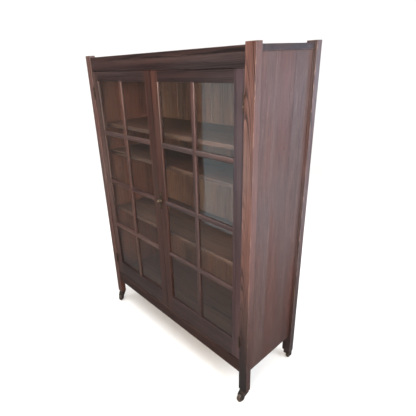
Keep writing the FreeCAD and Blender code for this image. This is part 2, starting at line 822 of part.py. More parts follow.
def make_doors():
    bevel = make_sight_bevel()
    rebate = make_rebate()
    rails = {which: make_door_rail(which, bevel, rebate) for which in DOOR_RAILS}
    hinge_stile = make_stile("hinge_stile", ("sight_outer", "hinge_edge"),
                             ("sight_outer", "sight_outer + door_tenon_length + fit_clearance"),
                             bevel, rebate)
    hinge_stile = cut("hinge_stile_let_in", hinge_stile,
                      hinge_recess("stile_hinge_recess", ("door_leaf_low - fit_clearance", "hinge_edge")))
    meeting_stile = make_stile("meeting_stile", ("meeting_edge", "sight_inner"),
                               ("sight_inner - door_tenon_length - fit_clearance", "sight_inner"),
                               bevel, rebate)

    upright = make_bar("upright_muntin", False, "sight_high - sight_low")
    place(upright, (column_place(1), "0", "sight_low - sight_bevel"))
    upright = cut("vertical_muntin", upright, *rails.values())
    crossbars = []
    for number in range(1, PANE_ROWS):
        bar = make_bar(f"crossbar_{number}", True, "sight_outer - sight_inner")
        place(bar, ("sight_inner - sight_bevel", "0", row_place(number)))
        crossbars.append(cut(f"crossbar_{number}_coped", bar, hinge_stile, meeting_stile, upright))
    panes, beads = make_glazing()

    spindle_hole = rod("spindle_hole", "spindle_radius + running_clearance",
                       ("latch_x", "face", "latch_height"), "door_thickness", "y")
    pieces = {
        "hinge_stile": hinge_stile, "meeting_stile": meeting_stile,
        "door_top_rail": rails["top"], "door_bottom_rail": rails["bottom"],
        "vertical_muntin": upright, "horizontal_muntins": group("crossbars_group", crossbars),
        "glass_panes": panes, "glazing_beads": beads}
    for label, piece in pieces.items():
        node(f"left_{label}", mirrored(f"left_{label}_image", piece))
    pieces["meeting_stile"] = cut("right_meeting_stile", meeting_stile, spindle_hole)
    for label, piece in pieces.items():
        node(f"right_{label}", piece)


# Latch and bolt

def make_latch():
    half_width = "plate_width / 2"
    half_height = "plate_height / 2"
    corner = [(f"({half_width})", f"({half_height} - plate_corner)"),
              (f"({half_width} - plate_corner)", f"({half_height})")]
    outline = list(corner)
    outline += [(f"-{x}", z) for x, z in reversed(corner)]
    outline += [(f"-{x}", f"-{z}") for x, z in corner]
    outline += [(x, f"-{z}") for x, z in reversed(corner)]
    plate = padded("latch_plate_blank", "XZ_Plane", outline, "plate_thickness")
    place(plate, ("latch_x", "face", "latch_height"))
    opening = rod("latch_plate_opening", "spindle_radius + running_clearance",
                  ("latch_x", "plate_front", "latch_height"), "plate_thickness", "y")
    node("latch_plate", cut("latch_plate", plate, opening))

    ball_centre = "plate_front - knob_reach + knob_radius"
    spindle = rod("spindle", "spindle_radius", ("latch_x", ball_centre, "latch_height"),
                  f"latch_tongue_back - ({ball_centre})", "y")
    neck = taper("knob_neck", "rose_radius", "neck_radius",
                 ("latch_x", "plate_front - knob_gap", "latch_height"), "neck_length", "-y")
    grip = ball("knob_ball", "knob_radius", ("latch_x", ball_centre, "latch_height"))
    node("latch_knob", join("latch_knob_joined", [spindle, neck, grip]))

    y = ("latch_tongue_front", "latch_tongue_back")
    half = "latch_tongue_width / 2"
    strip = block("tongue_strip", (f"latch_x - {half}", f"latch_x + {half}"), y,
                  ("latch_height", f"latch_height + latch_tongue_length - {half}"))
    ends = [rod(f"tongue_end_{number}", half, ("latch_x", y[0], z), "latch_tongue_thickness", "y")
            for number, z in enumerate(("latch_height", f"latch_height + latch_tongue_length - {half}"))]
    eye = rod("tongue_eye", "spindle_radius + running_clearance", ("latch_x", y[0], "latch_height"),
              "latch_tongue_thickness", "y")
    node("latch_tongue", cut("latch_tongue", join("tongue_joined", [strip] + ends), eye))


def make_bolt():
    x = ("bolt_x - bolt_guide_width / 2", "bolt_x + bolt_guide_width / 2")
    plate = block("guide_plate", x, ("door_back", "door_back + bolt_guide_thickness"),
                  ("guide_bottom", "guide_top"))
    strap_y = ("door_back", "door_back + bolt_guide_thickness + strap_depth")
    straps = [block("upper_strap", x, strap_y, ("guide_top - strap_height", "guide_top")),
              block("lower_strap", x, strap_y, ("guide_bottom", "guide_bottom + strap_height"))]
    way = rod("bolt_way", "bolt_radius + running_clearance", ("bolt_x", "bolt_y", "guide_bottom"),
              "bolt_guide_length")
    node("bolt_guide", cut("bolt_guide", join("guide_joined", [plate] + straps), way))

    tip = "keeper_lower - bolt_rest_gap"
    tail = "guide_bottom - bolt_tail"
    shaft = rod("bolt_shaft", "bolt_radius", ("bolt_x", "bolt_y", tail), f"{tip} - ({tail})")
    thumb_z = "guide_bottom + thumb_height"
    stalk = rod("thumb_stalk", "thumb_radius", ("bolt_x", "bolt_y", thumb_z), "thumb_reach", "y")
    grip = ball("thumb_ball", "thumb_ball_radius", ("bolt_x", "bolt_y + thumb_reach", thumb_z))
    node("door_bolt", join("door_bolt_joined", [shaft, stalk, grip]))


# Casters

def make_horn():
    """A forked horn under a round stem, seen from the side as a bent arm that trails behind it."""
    reach = "-caster_trail"
    toe = "wheel_radius - horn_arm_half"
    outline = [
        ("crown_radius", "crown_top"), ("-crown_radius", "crown_top"),
        (f"{reach} - horn_arm_half", "wheel_radius + horn_knee_rise"), (f"{reach} - horn_arm_half", toe),
        (f"{reach} + horn_arm_half", toe),
        (f"{reach} + horn_arm_half", "wheel_radius + horn_throat_rise"),
        ("crown_radius", "crown_top - crown_thickness")]
    body = padded("horn_blank", "YZ_Plane", outline, "horn_width", symmetric=True)

    def throat_edge(edge, limits):
        inside_y = limits.YMin + TOUCH < edge.YMin and edge.YMax < limits.YMax - TOUCH
        inside_z = limits.ZMin + TOUCH < edge.ZMin and edge.ZMax < limits.ZMax - TOUCH
        return along_x(edge) and inside_y and inside_z

    def knee_edge(edge, limits):
        return along_x(edge) and near(edge.YMin, limits.YMin) and edge.ZMin > limits.Center.z

    def toe_edge(edge, limits):
        return along_x(edge) and near(edge.ZMin, limits.ZMin)

    dress(body, "Fillet", "Radius", "horn_throat_round", throat_edge)
    dress(body, "Fillet", "Radius", "horn_knee_round", knee_edge)
    dress(body, "Fillet", "Radius", "horn_end_round", toe_edge)
    slot = block("horn_slot", ("-horn_gap / 2", "horn_gap / 2"),
                 (f"{reach} - horn_arm_half", "crown_radius"), ("0", "crown_top - crown_plate"))
    hole = rod("horn_axle_hole", "axle_radius + running_clearance",
               ("-horn_width / 2", reach, "wheel_radius"), "horn_width", "x")
    stem = rod("horn_stem", "stem_radius", ("0", "0", "crown_top - crown_plate / 2"),
               "caster_height + stem_length - (crown_top - crown_plate / 2)")
    return join("horn", [cut("horn_forked", body, slot, hole), stem])


def make_axle():
    centre = ("-caster_trail", "wheel_radius")
    end = "horn_width / 2"
    shaft = rod("axle_shaft", "axle_radius", (f"-{end}", *centre), "horn_width", "x")
    heads = [rod(f"axle_head_{number}", "axle_head_radius", (start, *centre), "axle_head_thickness", "x")
             for number, start in enumerate((f"-{end} - axle_head_thickness", end))]
    return join("axle", [shaft] + heads)


def make_wheel():
    """Turned section of the wheel about its axle: hub, sloped web, crowned tread."""
    half = [
        ("wheel_width / 2", "axle_radius + running_clearance"), ("wheel_width / 2", "hub_radius"),
        ("rim_width / 2", "hub_radius + hub_slope"), ("rim_width / 2", "wheel_radius - tread_shoulder"),
        ("tread_width / 2", "wheel_radius")]
    section = half + [(f"-{x}", radius) for x, radius in reversed(half)]
    body, sketch = drawn("wheel_blank", "XY_Plane", section)
    turn = body.newObject("PartDesign::Revolution", "wheel_turned")
    turn.Profile = sketch
    turn.ReferenceAxis = (origin_feature(body, "X_Axis"), [""])
    place(body, ("0", "-caster_trail", "wheel_radius"))
    return body


def make_casters():
    sources = {"horn": make_horn(), "axle": make_axle(), "wheel": make_wheel()}
    sleeves = []
    for corner in ("front_left", "front_right", "rear_left", "rear_right"):
        x = "caster_x" if corner.endswith("right") else "-caster_x"
        y = "caster_y" if corner.startswith("rear") else "-caster_y"
        for label, source in sources.items():
            item = group(f"{corner}_{label}_placed", [source])
            place(item, (x, y, "0"))
            bind(item, "Placement.Rotation.Angle", f"{corner}_turn")
            node(f"{corner}_caster_{label}", item)
        start = (x, y, "foot - flange_thickness")
        length = "socket_depth + flange_thickness"
        sleeve = rod(f"{corner}_sleeve", "socket_radius", start, length)
        flange = rod(f"{corner}_flange", "flange_radius", start, "flange_thickness")
        bore = rod(f"{corner}_stem_bore", "stem_radius + running_clearance", start, length)
        sleeves.append(cut(f"{corner}_socket", join(f"{corner}_socket_blank", [sleeve, flange]), bore))
    node("caster_sockets", group("caster_sockets_group", sleeves))


def write_parts():
    doc.recompute()
    for item in doc.Objects:
        if "Invalid" in item.State or "Error" in item.State:
            raise RuntimeError(f"{item.Name} failed: {item.State}")
    for item in nodes:
        if item.Shape.isNull() or not item.Shape.isValid() or not item.Shape.Solids:
            raise RuntimeError(f"{item.Label} has no sound shape")
    os.makedirs("parts", exist_ok=True)
    for item in nodes:
        item.Shape.exportStep(os.path.join("parts", f"{item.Label}.step"))


make_posts()
make_top()
make_rails()
make_side_panels()
make_bottom_board()
make_back()
for shelf_name, shelf_hole in SHELF_HOLES.items():
    make_shelf(shelf_name, shelf_hole)
make_pegs()
make_door_stop()
make_hinges()
make_doors()
make_latch()
make_bolt()
make_casters()
write_parts()
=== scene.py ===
import math
from dataclasses import dataclass

import bmesh
import bpy
from bpy.props import FloatProperty, FloatVectorProperty, IntProperty, PointerProperty
from mathutils import Euler, Matrix, Vector


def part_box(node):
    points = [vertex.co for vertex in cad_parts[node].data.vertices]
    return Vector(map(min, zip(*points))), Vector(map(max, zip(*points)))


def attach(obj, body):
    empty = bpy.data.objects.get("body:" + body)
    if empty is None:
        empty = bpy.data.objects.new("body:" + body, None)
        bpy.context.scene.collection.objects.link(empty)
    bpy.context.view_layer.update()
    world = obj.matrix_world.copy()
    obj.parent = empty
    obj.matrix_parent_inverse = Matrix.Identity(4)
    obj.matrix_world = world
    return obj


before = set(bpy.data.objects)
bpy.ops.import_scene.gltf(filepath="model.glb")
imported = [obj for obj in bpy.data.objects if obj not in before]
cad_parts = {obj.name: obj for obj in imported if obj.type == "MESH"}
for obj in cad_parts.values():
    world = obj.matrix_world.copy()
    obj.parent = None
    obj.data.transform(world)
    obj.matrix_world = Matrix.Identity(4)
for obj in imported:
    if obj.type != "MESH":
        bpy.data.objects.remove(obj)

bl_info = {
    "name": "Glazed bookcase",
    "version": (1, 0, 0),
    "blender": (4, 5, 0),
    "location": "3D View > Sidebar > Bookcase",
    "description": "Finishes, fixings and a plain studio for an oak bookcase with glass doors",
    "category": "3D View",
}

CORNERS = ("front_left", "front_right", "rear_left", "rear_right")
HANDS = {"left": -1, "right": 1}
AXES = {"x": 0, "y": 1, "z": 2}
BACK_BOARDS = 8


# Settings

def colour(name, description, default):
    return FloatVectorProperty(name=name, description=description, default=default, subtype="COLOR",
                               size=3, min=0.0, max=1.0)


def gain(name, description, default):
    return FloatVectorProperty(name=name, description=description, default=default, size=3, min=0.0)


def length(name, description, default):
    return FloatProperty(name=name, description=description, default=default, unit="LENGTH",
                         precision=5, min=0.0)


def angle(name, description, degrees):
    return FloatProperty(name=name, description=description, default=math.radians(degrees), subtype="ANGLE")


def power(name, description, default):
    return FloatProperty(name=name, description=description, default=default, unit="POWER", min=0.0)


def amount(name, description, default):
    return FloatProperty(name=name, description=description, default=default, min=0.0)


class OakLooks(bpy.types.PropertyGroup):
    """Colours and figure of the stained oak."""
    dark: colour("Dark", "Open pores and early wood", (0.0245, 0.0118, 0.009))
    middle: colour("Middle", "Stained wood between the rings", (0.102, 0.0525, 0.0405))
    light: colour("Light", "Late wood and ray flecks", (0.188, 0.105, 0.079))
    worn: colour("Worn", "Wood under the rubbed finish", (0.25, 0.152, 0.11))
    inner_dark: colour("Inner dark", "Pores of the boards inside", (0.034, 0.019, 0.014))
    inner_middle: colour("Inner middle", "Boards inside", (0.135, 0.075, 0.054))
    inner_light: colour("Inner light", "Late wood of the boards inside", (0.26, 0.15, 0.108))
    post_gain: gain("Post gain", "Front posts are paler than the doors", (0.92, 0.9, 0.98))
    # Bluish tint: painted sheen of daylight on the rear posts
    rear_gain: gain("Rear gain", "Rear posts", (0.8, 0.97, 1.2))
    # Painted bluish sheen of daylight on the outer faces of the side panels
    side_sheen_gain: gain("Side gain", "Side panels, greyed by daylight", (0.74, 0.83, 0.98))
    # Painted warm light inside the case, on the inner faces of the side panels
    inside_gain: gain("Inside gain", "Inner faces of the side panels are more golden", (1.5, 1.27, 1.1))
    back_gain: gain("Back gain", "Back boards are more golden", (1.38, 1.36, 1.24))
    shelf_gain: gain("Shelf gain", "Shelves are darkened by use", (0.62, 0.58, 0.56))
    left_stile_gain: gain("Left stile gain", "Hinge stile of the left door", (0.54, 0.5, 0.53))
    # Its blue paints the sheen of daylight on that stile
    right_stile_gain: gain("Right stile gain", "Hinge stile of the right door", (0.37, 0.38, 0.56))
    left_bar_gain: gain("Left bar gain", "Upright glazing bar of the left door", (0.56, 0.5, 0.51))
    right_bar_gain: gain("Right bar gain", "Upright glazing bar of the right door", (0.45, 0.4, 0.45))
    left_row_gain: gain("Left row gain", "Level glazing bars of the left door", (0.66, 0.66, 0.75))
    right_row_gain: gain("Right row gain", "Level glazing bars of the right door", (0.42, 0.42, 0.5))
    meeting_gain: gain("Meeting gain", "Meeting stiles are redder", (0.46, 0.355, 0.325))
    rail_gain: gain("Rail gain", "Rails and beads are darker", (0.272, 0.272, 0.33))
    base_gain: gain("Base gain", "The bottom rail is dark too", (0.33, 0.36, 0.42))
    top_gain: gain("Top gain", "Top board", (0.3, 0.29, 0.34))
    ring_pitch: length("Ring pitch", "From one yearly ring to the next", 0.0052)
    edge_round: length("Edge round", "Width of the eased edges", 0.0008)
    wear_reach: length("Wear reach", "How far rubbing goes in from an edge", 0.0045)


class WheelLooks(bpy.types.PropertyGroup):
    """Colours of the worn wooden wheels."""
    dark: colour("Dark", "Dirt in the pores", (0.014, 0.01, 0.007))
    middle: colour("Middle", "Bare worn wood", (0.05, 0.035, 0.024))
    light: colour("Light", "Rubbed wood", (0.1, 0.074, 0.052))


class MetalLooks(bpy.types.PropertyGroup):
    """Colours of brass and iron."""
    brass: colour("Brass", "Brass where hands polish it", (0.22, 0.155, 0.095))
    tarnish: colour("Tarnish", "Darkened brass", (0.062, 0.044, 0.036))
    iron: colour("Iron", "Dull cast iron", (0.03, 0.026, 0.024))
    rust: colour("Rust", "Browned patches on the iron", (0.062, 0.036, 0.025))
    # Also the painted shade in screw slots
    grime: colour("Grime", "Dirt in screw slots", (0.012, 0.009, 0.007))


class GlassLooks(bpy.types.PropertyGroup):
    """Clear, slightly wavy old glass."""
    tint: colour("Tint", "Colour of the glass", (0.93, 0.96, 0.95))
    ripple: length("Ripple", "Height of the waves in the panes", 0.0002)
    ripple_pitch: length("Ripple pitch", "Usual distance between waves", 0.11)


class FixingSizes(bpy.types.PropertyGroup):
    """Screws, nails and brads."""
    leaf_screw: length("Leaf screw", "Radius of the flush screws in the hinge leaves", 0.0031)
    leaf_screw_rise: length("Leaf screw rise", "How proud those heads stand", 0.00011)
    plate_screw: length("Plate screw", "Radius of the domed screws on the latch plate", 0.0024)
    bolt_screw: length("Bolt screw", "Radius of the domed screws on guide and keeper", 0.0018)
    plate_screw_rise: length("Plate screw rise", "Height of the domed heads", 0.0007)
    nail: length("Nail", "Width of the nail heads on the back", 0.0046)
    nail_rise: length("Nail rise", "Height of the nail heads", 0.0008)
    brad: length("Brad", "Radius of the brad heads in the glazing beads", 0.0009)
    brad_rise: length("Brad rise", "Height of the brad heads", 0.0003)


class StageSettings(bpy.types.PropertyGroup):
    """Camera, floor and lamps."""
    camera_place: FloatVectorProperty(name="Camera place", description="Where the picture is taken from",
                                      default=(1.1768, -1.027, 1.3788), subtype="TRANSLATION", size=3)
    azimuth: angle("Azimuth", "How far the camera stands to the right of the front", 50.195)
    elevation: angle("Elevation", "How far the camera looks down", 22.704)
    roll: angle("Roll", "Tilt of the camera", -3.045)
    focal_share: amount("Focal share", "Focal length over the picture's width", 0.8374)
    shift: FloatVectorProperty(name="Shift", description="Shift of the lens over the picture's width",
                               default=(0.0626, -0.0041), size=2)
    floor: colour("Floor", "Plain pale floor and backdrop", (0.86, 0.855, 0.845))
    mirrored: colour("Mirrored floor", "The floor in mirror images beside the case", (0.52, 0.58, 0.68))
    mirrored_share: amount("Mirrored share", "How pale it is in those of the doors", 0.16)
    mirrored_from: FloatVectorProperty(name="Mirrored from", description="Where one passes into the other",
                                       default=(0.8, 2.2), size=2, subtype="XYZ", unit="LENGTH")
    floor_radius: length("Floor radius", "From the middle to the backdrop", 5.0)
    wall_height: length("Wall height", "Height of the backdrop", 7.0)
    cove: length("Cove", "How far the bend from floor to backdrop reaches", 2.2)
    top_colour: colour("Top colour", "Plain light from overhead", (1.0, 1.0, 1.0))
    top_power: power("Top power", "Wide lamp overhead", 210.0)
    key_colour: colour("Key colour", "Cool daylight from the right", (0.86, 0.93, 1.0))
    key_power: power("Key power", "Lamp at the right", 140.0)
    room_colour: colour("Room colour", "Warm indoor light from the front", (1.0, 0.83, 0.68))
    room_power: power("Room power", "Soft lamp in front", 72.0)
    window_colour: colour("Window colour", "Blue daylight from the right rear", (0.45, 0.7, 1.0))
    window_power: power("Window power", "Sheen on the right side", 10.0)
    card_colour: colour("Card colour", "Grey-blue sheen on the right door's glass", (0.66, 0.86, 0.95))
    card_power: power("Card power", "Faint card mirrored in the right door's glass", 1.5)
    sky: amount("Sky", "Strength of the even light all round", 0.12)


SETTINGS = {
    "oak": OakLooks,
    "wheel": WheelLooks,
    "metal": MetalLooks,
    "glass": GlassLooks,
    "fixing": FixingSizes,
    "stage": StageSettings,
}


def setting(kind):
    return getattr(bpy.context.scene, f"bookcase_{kind}")


# Shader trees

WHITE = (1.0, 1.0, 1.0, 1.0)
NOISE_MIDDLE = 0.5


class Weave:
    """Adds nodes to one tree; from math() on, each method gives back the sockets it made."""

    def __init__(self, tree):
        self.tree = tree

    def feed(self, socket, source):
        if isinstance(source, bpy.types.NodeSocket):
            self.tree.links.new(source, socket)
        else:
            socket.default_value = source

    def fill(self, node, sources):
        for name, source in sources.items():
            self.feed(node.inputs[name], source)

    def node(self, kind, sources=(), **choices):
        made = self.tree.nodes.new(kind)
        for name, choice in choices.items():
            setattr(made, name, choice)
        for socket, source in zip(made.inputs, sources):
            self.feed(socket, source)
        return made

    def math(self, operation, *sources):
        return self.node("ShaderNodeMath", sources, operation=operation).outputs["Value"]

    def times(self, first, second):
        return self.math("MULTIPLY", first, second)

    def total(self, first, *others):
        for other in others:
            first = self.math("ADD", first, other)
        return first

    def between(self, share, first, second):
        """A number that goes from the first to the second as the share goes from 0 to 1."""
        return self.math("MULTIPLY_ADD", share, second - first, first)

    def vector(self, operation, *sources):
        made = self.node("ShaderNodeVectorMath", sources, operation=operation)
        return made.outputs["Value" if operation == "LENGTH" else "Vector"]

    def dimmed(self, rgb, share):
        """A colour times a number."""
        made = self.node("ShaderNodeVectorMath", [rgb], operation="SCALE")
        self.feed(made.inputs["Scale"], share)
        return made.outputs["Vector"]

    def parts(self, vector):
        return self.node("ShaderNodeSeparateXYZ", [vector]).outputs

    def whole(self, x, y, z):
        return self.node("ShaderNodeCombineXYZ", [x, y, z]).outputs["Vector"]

    def noise(self, place, detail=2.0, output="Fac"):
        made = self.node("ShaderNodeTexNoise")
        self.fill(made, {"Vector": place, "Scale": 1.0, "Detail": detail})
        return made.outputs[output]

    def spread(self, place, scale, detail=2.0, output="Fac"):
        """Noise stretched by a scale along each way."""
        return self.noise(self.vector("MULTIPLY", place, scale), detail, output)

    def ramp(self, value, start, end, low=0.0, high=1.0):
        made = self.node("ShaderNodeMapRange", [value, start, end, low, high],
                         interpolation_type="SMOOTHSTEP")
        return made.outputs["Result"]

    def scaled(self, value, reach, middle=NOISE_MIDDLE):
        """A noise value about its mean, turned into plus or minus half the reach."""
        return self.times(self.math("SUBTRACT", value, middle), reach)

    def swung(self, noises, reaches):
        """The same for three noise values at once."""
        return self.vector("MULTIPLY", self.vector("SUBTRACT", noises, (NOISE_MIDDLE,) * 3), reaches)

    def blend(self, share, first, second):
        made = self.node("ShaderNodeMix", data_type="RGBA")
        self.feed(made.inputs["Factor"], share)
        ends = [socket for socket in made.inputs if socket.type == "RGBA"]
        self.feed(ends[0], first)
        self.feed(ends[1], second)
        return next(socket for socket in made.outputs if socket.type == "RGBA")

    def bump(self, height, distance, strength=1.0):
        made = self.node("ShaderNodeBump")
        self.fill(made, {"Height": height, "Distance": distance, "Strength": strength})
        return made.outputs["Normal"]


def opaque(rgb):
    return (*rgb, 1.0)


def darker(rgb, share):
    return opaque([channel * share for channel in rgb])


def new_material(name):
    """A material with one surface shader; gives the material, its weave and the shader."""
    material = bpy.data.materials.new(name)
    material.use_nodes = True
    weave = Weave(material.node_tree)
    shader = material.node_tree.nodes["Principled BSDF"]
    return material, weave, shader


def object_place(weave):
    return weave.node("ShaderNodeTexCoord").outputs["Object"]


def dress_node(name, material):
    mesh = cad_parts[name].data
    mesh.materials.clear()
    mesh.materials.append(material)


# Stained oak

# Noises by their scale per metre, twice across the grain and once along it, and their detail
SWAY = ((5.0, 5.0, 2.4), 2.0)
PORES = ((760.0, 760.0, 21.0), 2.0)
STREAKS = ((31.0, 31.0, 1.1), 4.0)
PATCHES = ((7.0, 7.0, 2.2), 1.0)
MOTTLE = ((130.0, 130.0, 12.0), 3.0)
CASTS = ((9.0, 9.0, 2.2), 2.0)
SCUFFS = ((70.0, 70.0, 42.0), 4.0)
# Ray flecks per metre from the pith, per radian round it and per metre along it
FLECKS = (34.0, 24.0, 52.0)
# Noises from ring to ring, by their scale per ring and the row that keeps them apart
RING_DRIFT = (0.31, 0.0)
RING_STRENGTH = (0.47, 0.5)

# Bounds between which a noise, a share of a ring or a tone takes effect
EARLY_END = (0.08, 0.62)
EARLY_START = (0.9, 1.0)
STRENGTH_BOUNDS = (0.38, 0.66)
PORE_BOUNDS = (0.53, 0.66)
FLECK_BOUNDS = (0.6, 0.72)
CAST_BOUNDS = (0.36, 0.64)
SCUFF_BOUNDS = (0.45, 0.72)
SPOT_BOUNDS = (0.72, 0.8)
DARK_TONES = (0.0, 0.5)
LIGHT_TONES = (0.45, 1.0)

# How far rings sway, drift and shift from stave to stave, and how weak they, late pores and rubbing get
SWAY_REACH = (0.016, 0.016, 0.0)
DRIFT_REACH = 2.6
STAVE_SHIFT = (0.11, 0.045, 4.0)
LEAST_STRENGTH = 0.1
LATE_PORES = 0.25
LEAST_RUB = 0.1

# Shares in the tone of the stain
BASE_TONE = 0.395
STREAK_TONE = 0.75
EARLY_TONE = -0.5
EARLY_MIDDLE = 0.28
PATCH_TONE = 0.35
MOTTLE_TONE = 0.65
FLECK_TONE = 0.16
STAVE_TONE = 0.2
BACK_STAVE_TONE = 0.06

# How much pores and rubbing cover
PORE_COVER = 0.75
SPOT_RUB = 0.35
RUB_COVER = 0.8

# Shares in roughness and relief
BASE_DULLNESS = 0.36
PATCH_DULLNESS = 0.22
PORE_DULLNESS = 0.2
RUB_DULLNESS = 0.22
FLECK_DULLNESS = -0.05
PORE_HEIGHT = -0.6
EARLY_HEIGHT = -0.12
PATCH_HEIGHT = 0.5
RUB_HEIGHT = -0.3
RELIEF_DEPTH = 0.00035
RELIEF_STRENGTH = 0.8

# Broad warm and cool stretches, and the darkening towards the floor, which is painted shade with some dirt:
# brightness left at the lower height
WARM_CAST = (1.08, 0.965, 0.92, 1.0)
COOL_CAST = (0.93, 1.03, 1.075, 1.0)
GRIME_SHADE_TINT = (1.12, 0.9, 0.82, 1.0)
GRIME_SHADE_HEIGHTS = (0.05, 0.95)
GRIME_SHADE_SHARE = 0.6
LOW_WORN_SHADE = 0.4

OAK_SOCKETS = {
    "INPUT": {
        "NodeSocketVector": ("Place", "Point", "Low corner", "High corner", "Staves"),
        "NodeSocketFloat": ("Tone", "Wear", "Taper", "Figure", "Grime", "Stave tone"),
        "NodeSocketColor": ("Dark", "Middle", "Light", "Worn"),
    },
    "OUTPUT": {
        "NodeSocketColor": ("Color",),
        "NodeSocketFloat": ("Roughness",),
        "NodeSocketVector": ("Normal",),
    },
}


def near_edge(weave, point, low, high):
    """Distance to the nearest edge of a box: the middle one of its three face distances."""
    inside = weave.vector("MINIMUM", weave.vector("SUBTRACT", point, low),
                          weave.vector("SUBTRACT", high, point))
    x, y, z = weave.parts(inside)
    smaller = weave.math("MINIMUM", x, y)
    larger = weave.math("MAXIMUM", x, y)
    return weave.math("MAXIMUM", smaller, weave.math("MINIMUM", larger, z))


def ring_noise(weave, rings, rate, row):
    return weave.noise(weave.whole(weave.times(rings, rate), row, 0.0))


def oak_group(looks):
    """Rings round a pith, open pores, ray flecks, glued staves, painted shade with some dirt near the floor
    and rubbed edges.
    """
    tree = bpy.data.node_groups.new("Stained oak", "ShaderNodeTree")
    for way, kinds in OAK_SOCKETS.items():
        for kind, names in kinds.items():
            for name in names:
                tree.interface.new_socket(name, in_out=way, socket_type=kind)
    weave = Weave(tree)
    given = weave.node("NodeGroupInput").outputs

    from_corner = weave.vector("SUBTRACT", given["Point"], given["Low corner"])
    stave = weave.vector("FLOOR", weave.vector("MULTIPLY", from_corner, given["Staves"]))
    chance = weave.node("ShaderNodeTexWhiteNoise", [stave]).outputs
    place = weave.vector("ADD", given["Place"], weave.swung(chance["Color"], STAVE_SHIFT))

    sway = weave.swung(weave.spread(place, *SWAY, output="Color"), SWAY_REACH)
    x, y, z = weave.parts(weave.vector("ADD", place, sway))
    radius = weave.vector("LENGTH", weave.whole(x, y, 0.0))
    radius = weave.math("ADD", radius, weave.times(z, given["Taper"]))
    rings = weave.math("DIVIDE", radius, looks.ring_pitch)
    rings = weave.math("ADD", rings, weave.scaled(ring_noise(weave, rings, *RING_DRIFT), DRIFT_REACH))
    share = weave.math("FRACT", rings)
    early = weave.math("MAXIMUM", weave.ramp(share, *EARLY_END, 1.0, 0.0), weave.ramp(share, *EARLY_START))
    strength = weave.ramp(ring_noise(weave, rings, *RING_STRENGTH), *STRENGTH_BOUNDS, LEAST_STRENGTH, 1.0)
    early = weave.times(early, strength)

    pores = weave.ramp(weave.spread(place, *PORES), *PORE_BOUNDS)
    pores = weave.times(pores, weave.between(early, LATE_PORES, 1.0))
    streak = weave.spread(place, *STREAKS)
    patch = weave.spread(place, *PATCHES)
    mottle = weave.spread(place, *MOTTLE)
    turn = weave.math("ARCTAN2", y, x)
    fleck = weave.ramp(weave.spread(weave.whole(radius, turn, z), FLECKS), *FLECK_BOUNDS)

    lines = weave.math("ADD", weave.scaled(streak, STREAK_TONE),
                       weave.scaled(early, EARLY_TONE, EARLY_MIDDLE))
    tone = weave.total(
        BASE_TONE,
        weave.times(lines, given["Figure"]),
        weave.scaled(patch, PATCH_TONE),
        weave.scaled(mottle, MOTTLE_TONE),
        weave.times(fleck, FLECK_TONE),
        weave.scaled(chance["Value"], given["Stave tone"]),
        given["Tone"])
    lower = weave.blend(weave.ramp(tone, *DARK_TONES), given["Dark"], given["Middle"])
    stained = weave.blend(weave.ramp(tone, *LIGHT_TONES), lower, given["Light"])
    stained = weave.blend(weave.times(pores, PORE_COVER), stained, given["Dark"])
    cast = weave.ramp(weave.spread(place, *CASTS), *CAST_BOUNDS)
    stained = weave.vector("MULTIPLY", stained, weave.blend(cast, WARM_CAST, COOL_CAST))
    # Painted shade with some dirt: darker and warmer towards the floor, on the rubbed wood too
    above = weave.parts(given["Point"])["Z"]
    tint = weave.blend(weave.ramp(above, *GRIME_SHADE_HEIGHTS), GRIME_SHADE_TINT, WHITE)
    stained = weave.dimmed(weave.vector("MULTIPLY", stained, tint),
                           weave.ramp(above, *GRIME_SHADE_HEIGHTS, given["Grime"], 1.0))
    bare = weave.dimmed(given["Worn"], weave.ramp(above, *GRIME_SHADE_HEIGHTS, LOW_WORN_SHADE, 1.0))

    scuff = weave.spread(given["Place"], *SCUFFS)
    edge = near_edge(weave, given["Point"], given["Low corner"], given["High corner"])
    reach = weave.ramp(scuff, *SCUFF_BOUNDS, looks.wear_reach * LEAST_RUB, looks.wear_reach)
    rubbed = weave.times(weave.ramp(edge, 0.0, reach, 1.0, 0.0), given["Wear"])
    spot = weave.times(weave.ramp(scuff, *SPOT_BOUNDS), SPOT_RUB)
    rubbed = weave.math("MAXIMUM", rubbed, weave.times(spot, given["Wear"]))
    finish = weave.blend(weave.times(rubbed, RUB_COVER), stained, bare)

    dullness = weave.total(
        BASE_DULLNESS,
        weave.scaled(patch, PATCH_DULLNESS),
        weave.times(pores, PORE_DULLNESS),
        weave.times(rubbed, RUB_DULLNESS),
        weave.times(fleck, FLECK_DULLNESS))
    height = weave.total(
        weave.times(pores, PORE_HEIGHT),
        weave.times(early, EARLY_HEIGHT),
        weave.times(patch, PATCH_HEIGHT),
        weave.times(rubbed, RUB_HEIGHT))
    relief = weave.bump(height, RELIEF_DEPTH, RELIEF_STRENGTH)
    weave.fill(weave.node("NodeGroupOutput"), {"Color": finish, "Roughness": dullness, "Normal": relief})
    return tree


GRAIN_TURNS = {"x": Euler((0.0, math.radians(-90.0), 0.0)), "z": Euler((0.0, 0.0, 0.0))}
NO_STAVES = (0.0, 0.0, 0.0)
EVEN_GAIN = (1.0, 1.0, 1.0)
SEED_STEP = 1.37
TONE_STEPS = (0.0, 0.05, -0.04, 0.02, -0.06, 0.06, -0.02)
FACE_DEPTH = 0.002
SHELF_STAVE = 0.118
PANEL_STAVE = 0.104
# Brightness left near the floor under the painted shade and dirt, where it isn't the usual one: for posts
# on their sides and their front
POST_GRIME_SHADES = {"left": (GRIME_SHADE_SHARE, GRIME_SHADE_SHARE), "right": (0.3, 0.06)}
# The same painted shade near the floor for stiles, bars, rows, rear posts and side panels
STILE_GRIME_SHADES = {"left": 0.42, "right": GRIME_SHADE_SHARE}
BAR_GRIME_SHADES = {"left": 0.45, "right": 0.1}
ROW_GRIME_SHADE = 0.95
REAR_GRIME_SHADE = 0.22
PANEL_GRIME_SHADE = 0.53
# The varnish on a piece of full gloss
SPECULAR = 0.5
COAT = 0.3
COAT_DULLNESS = 0.3


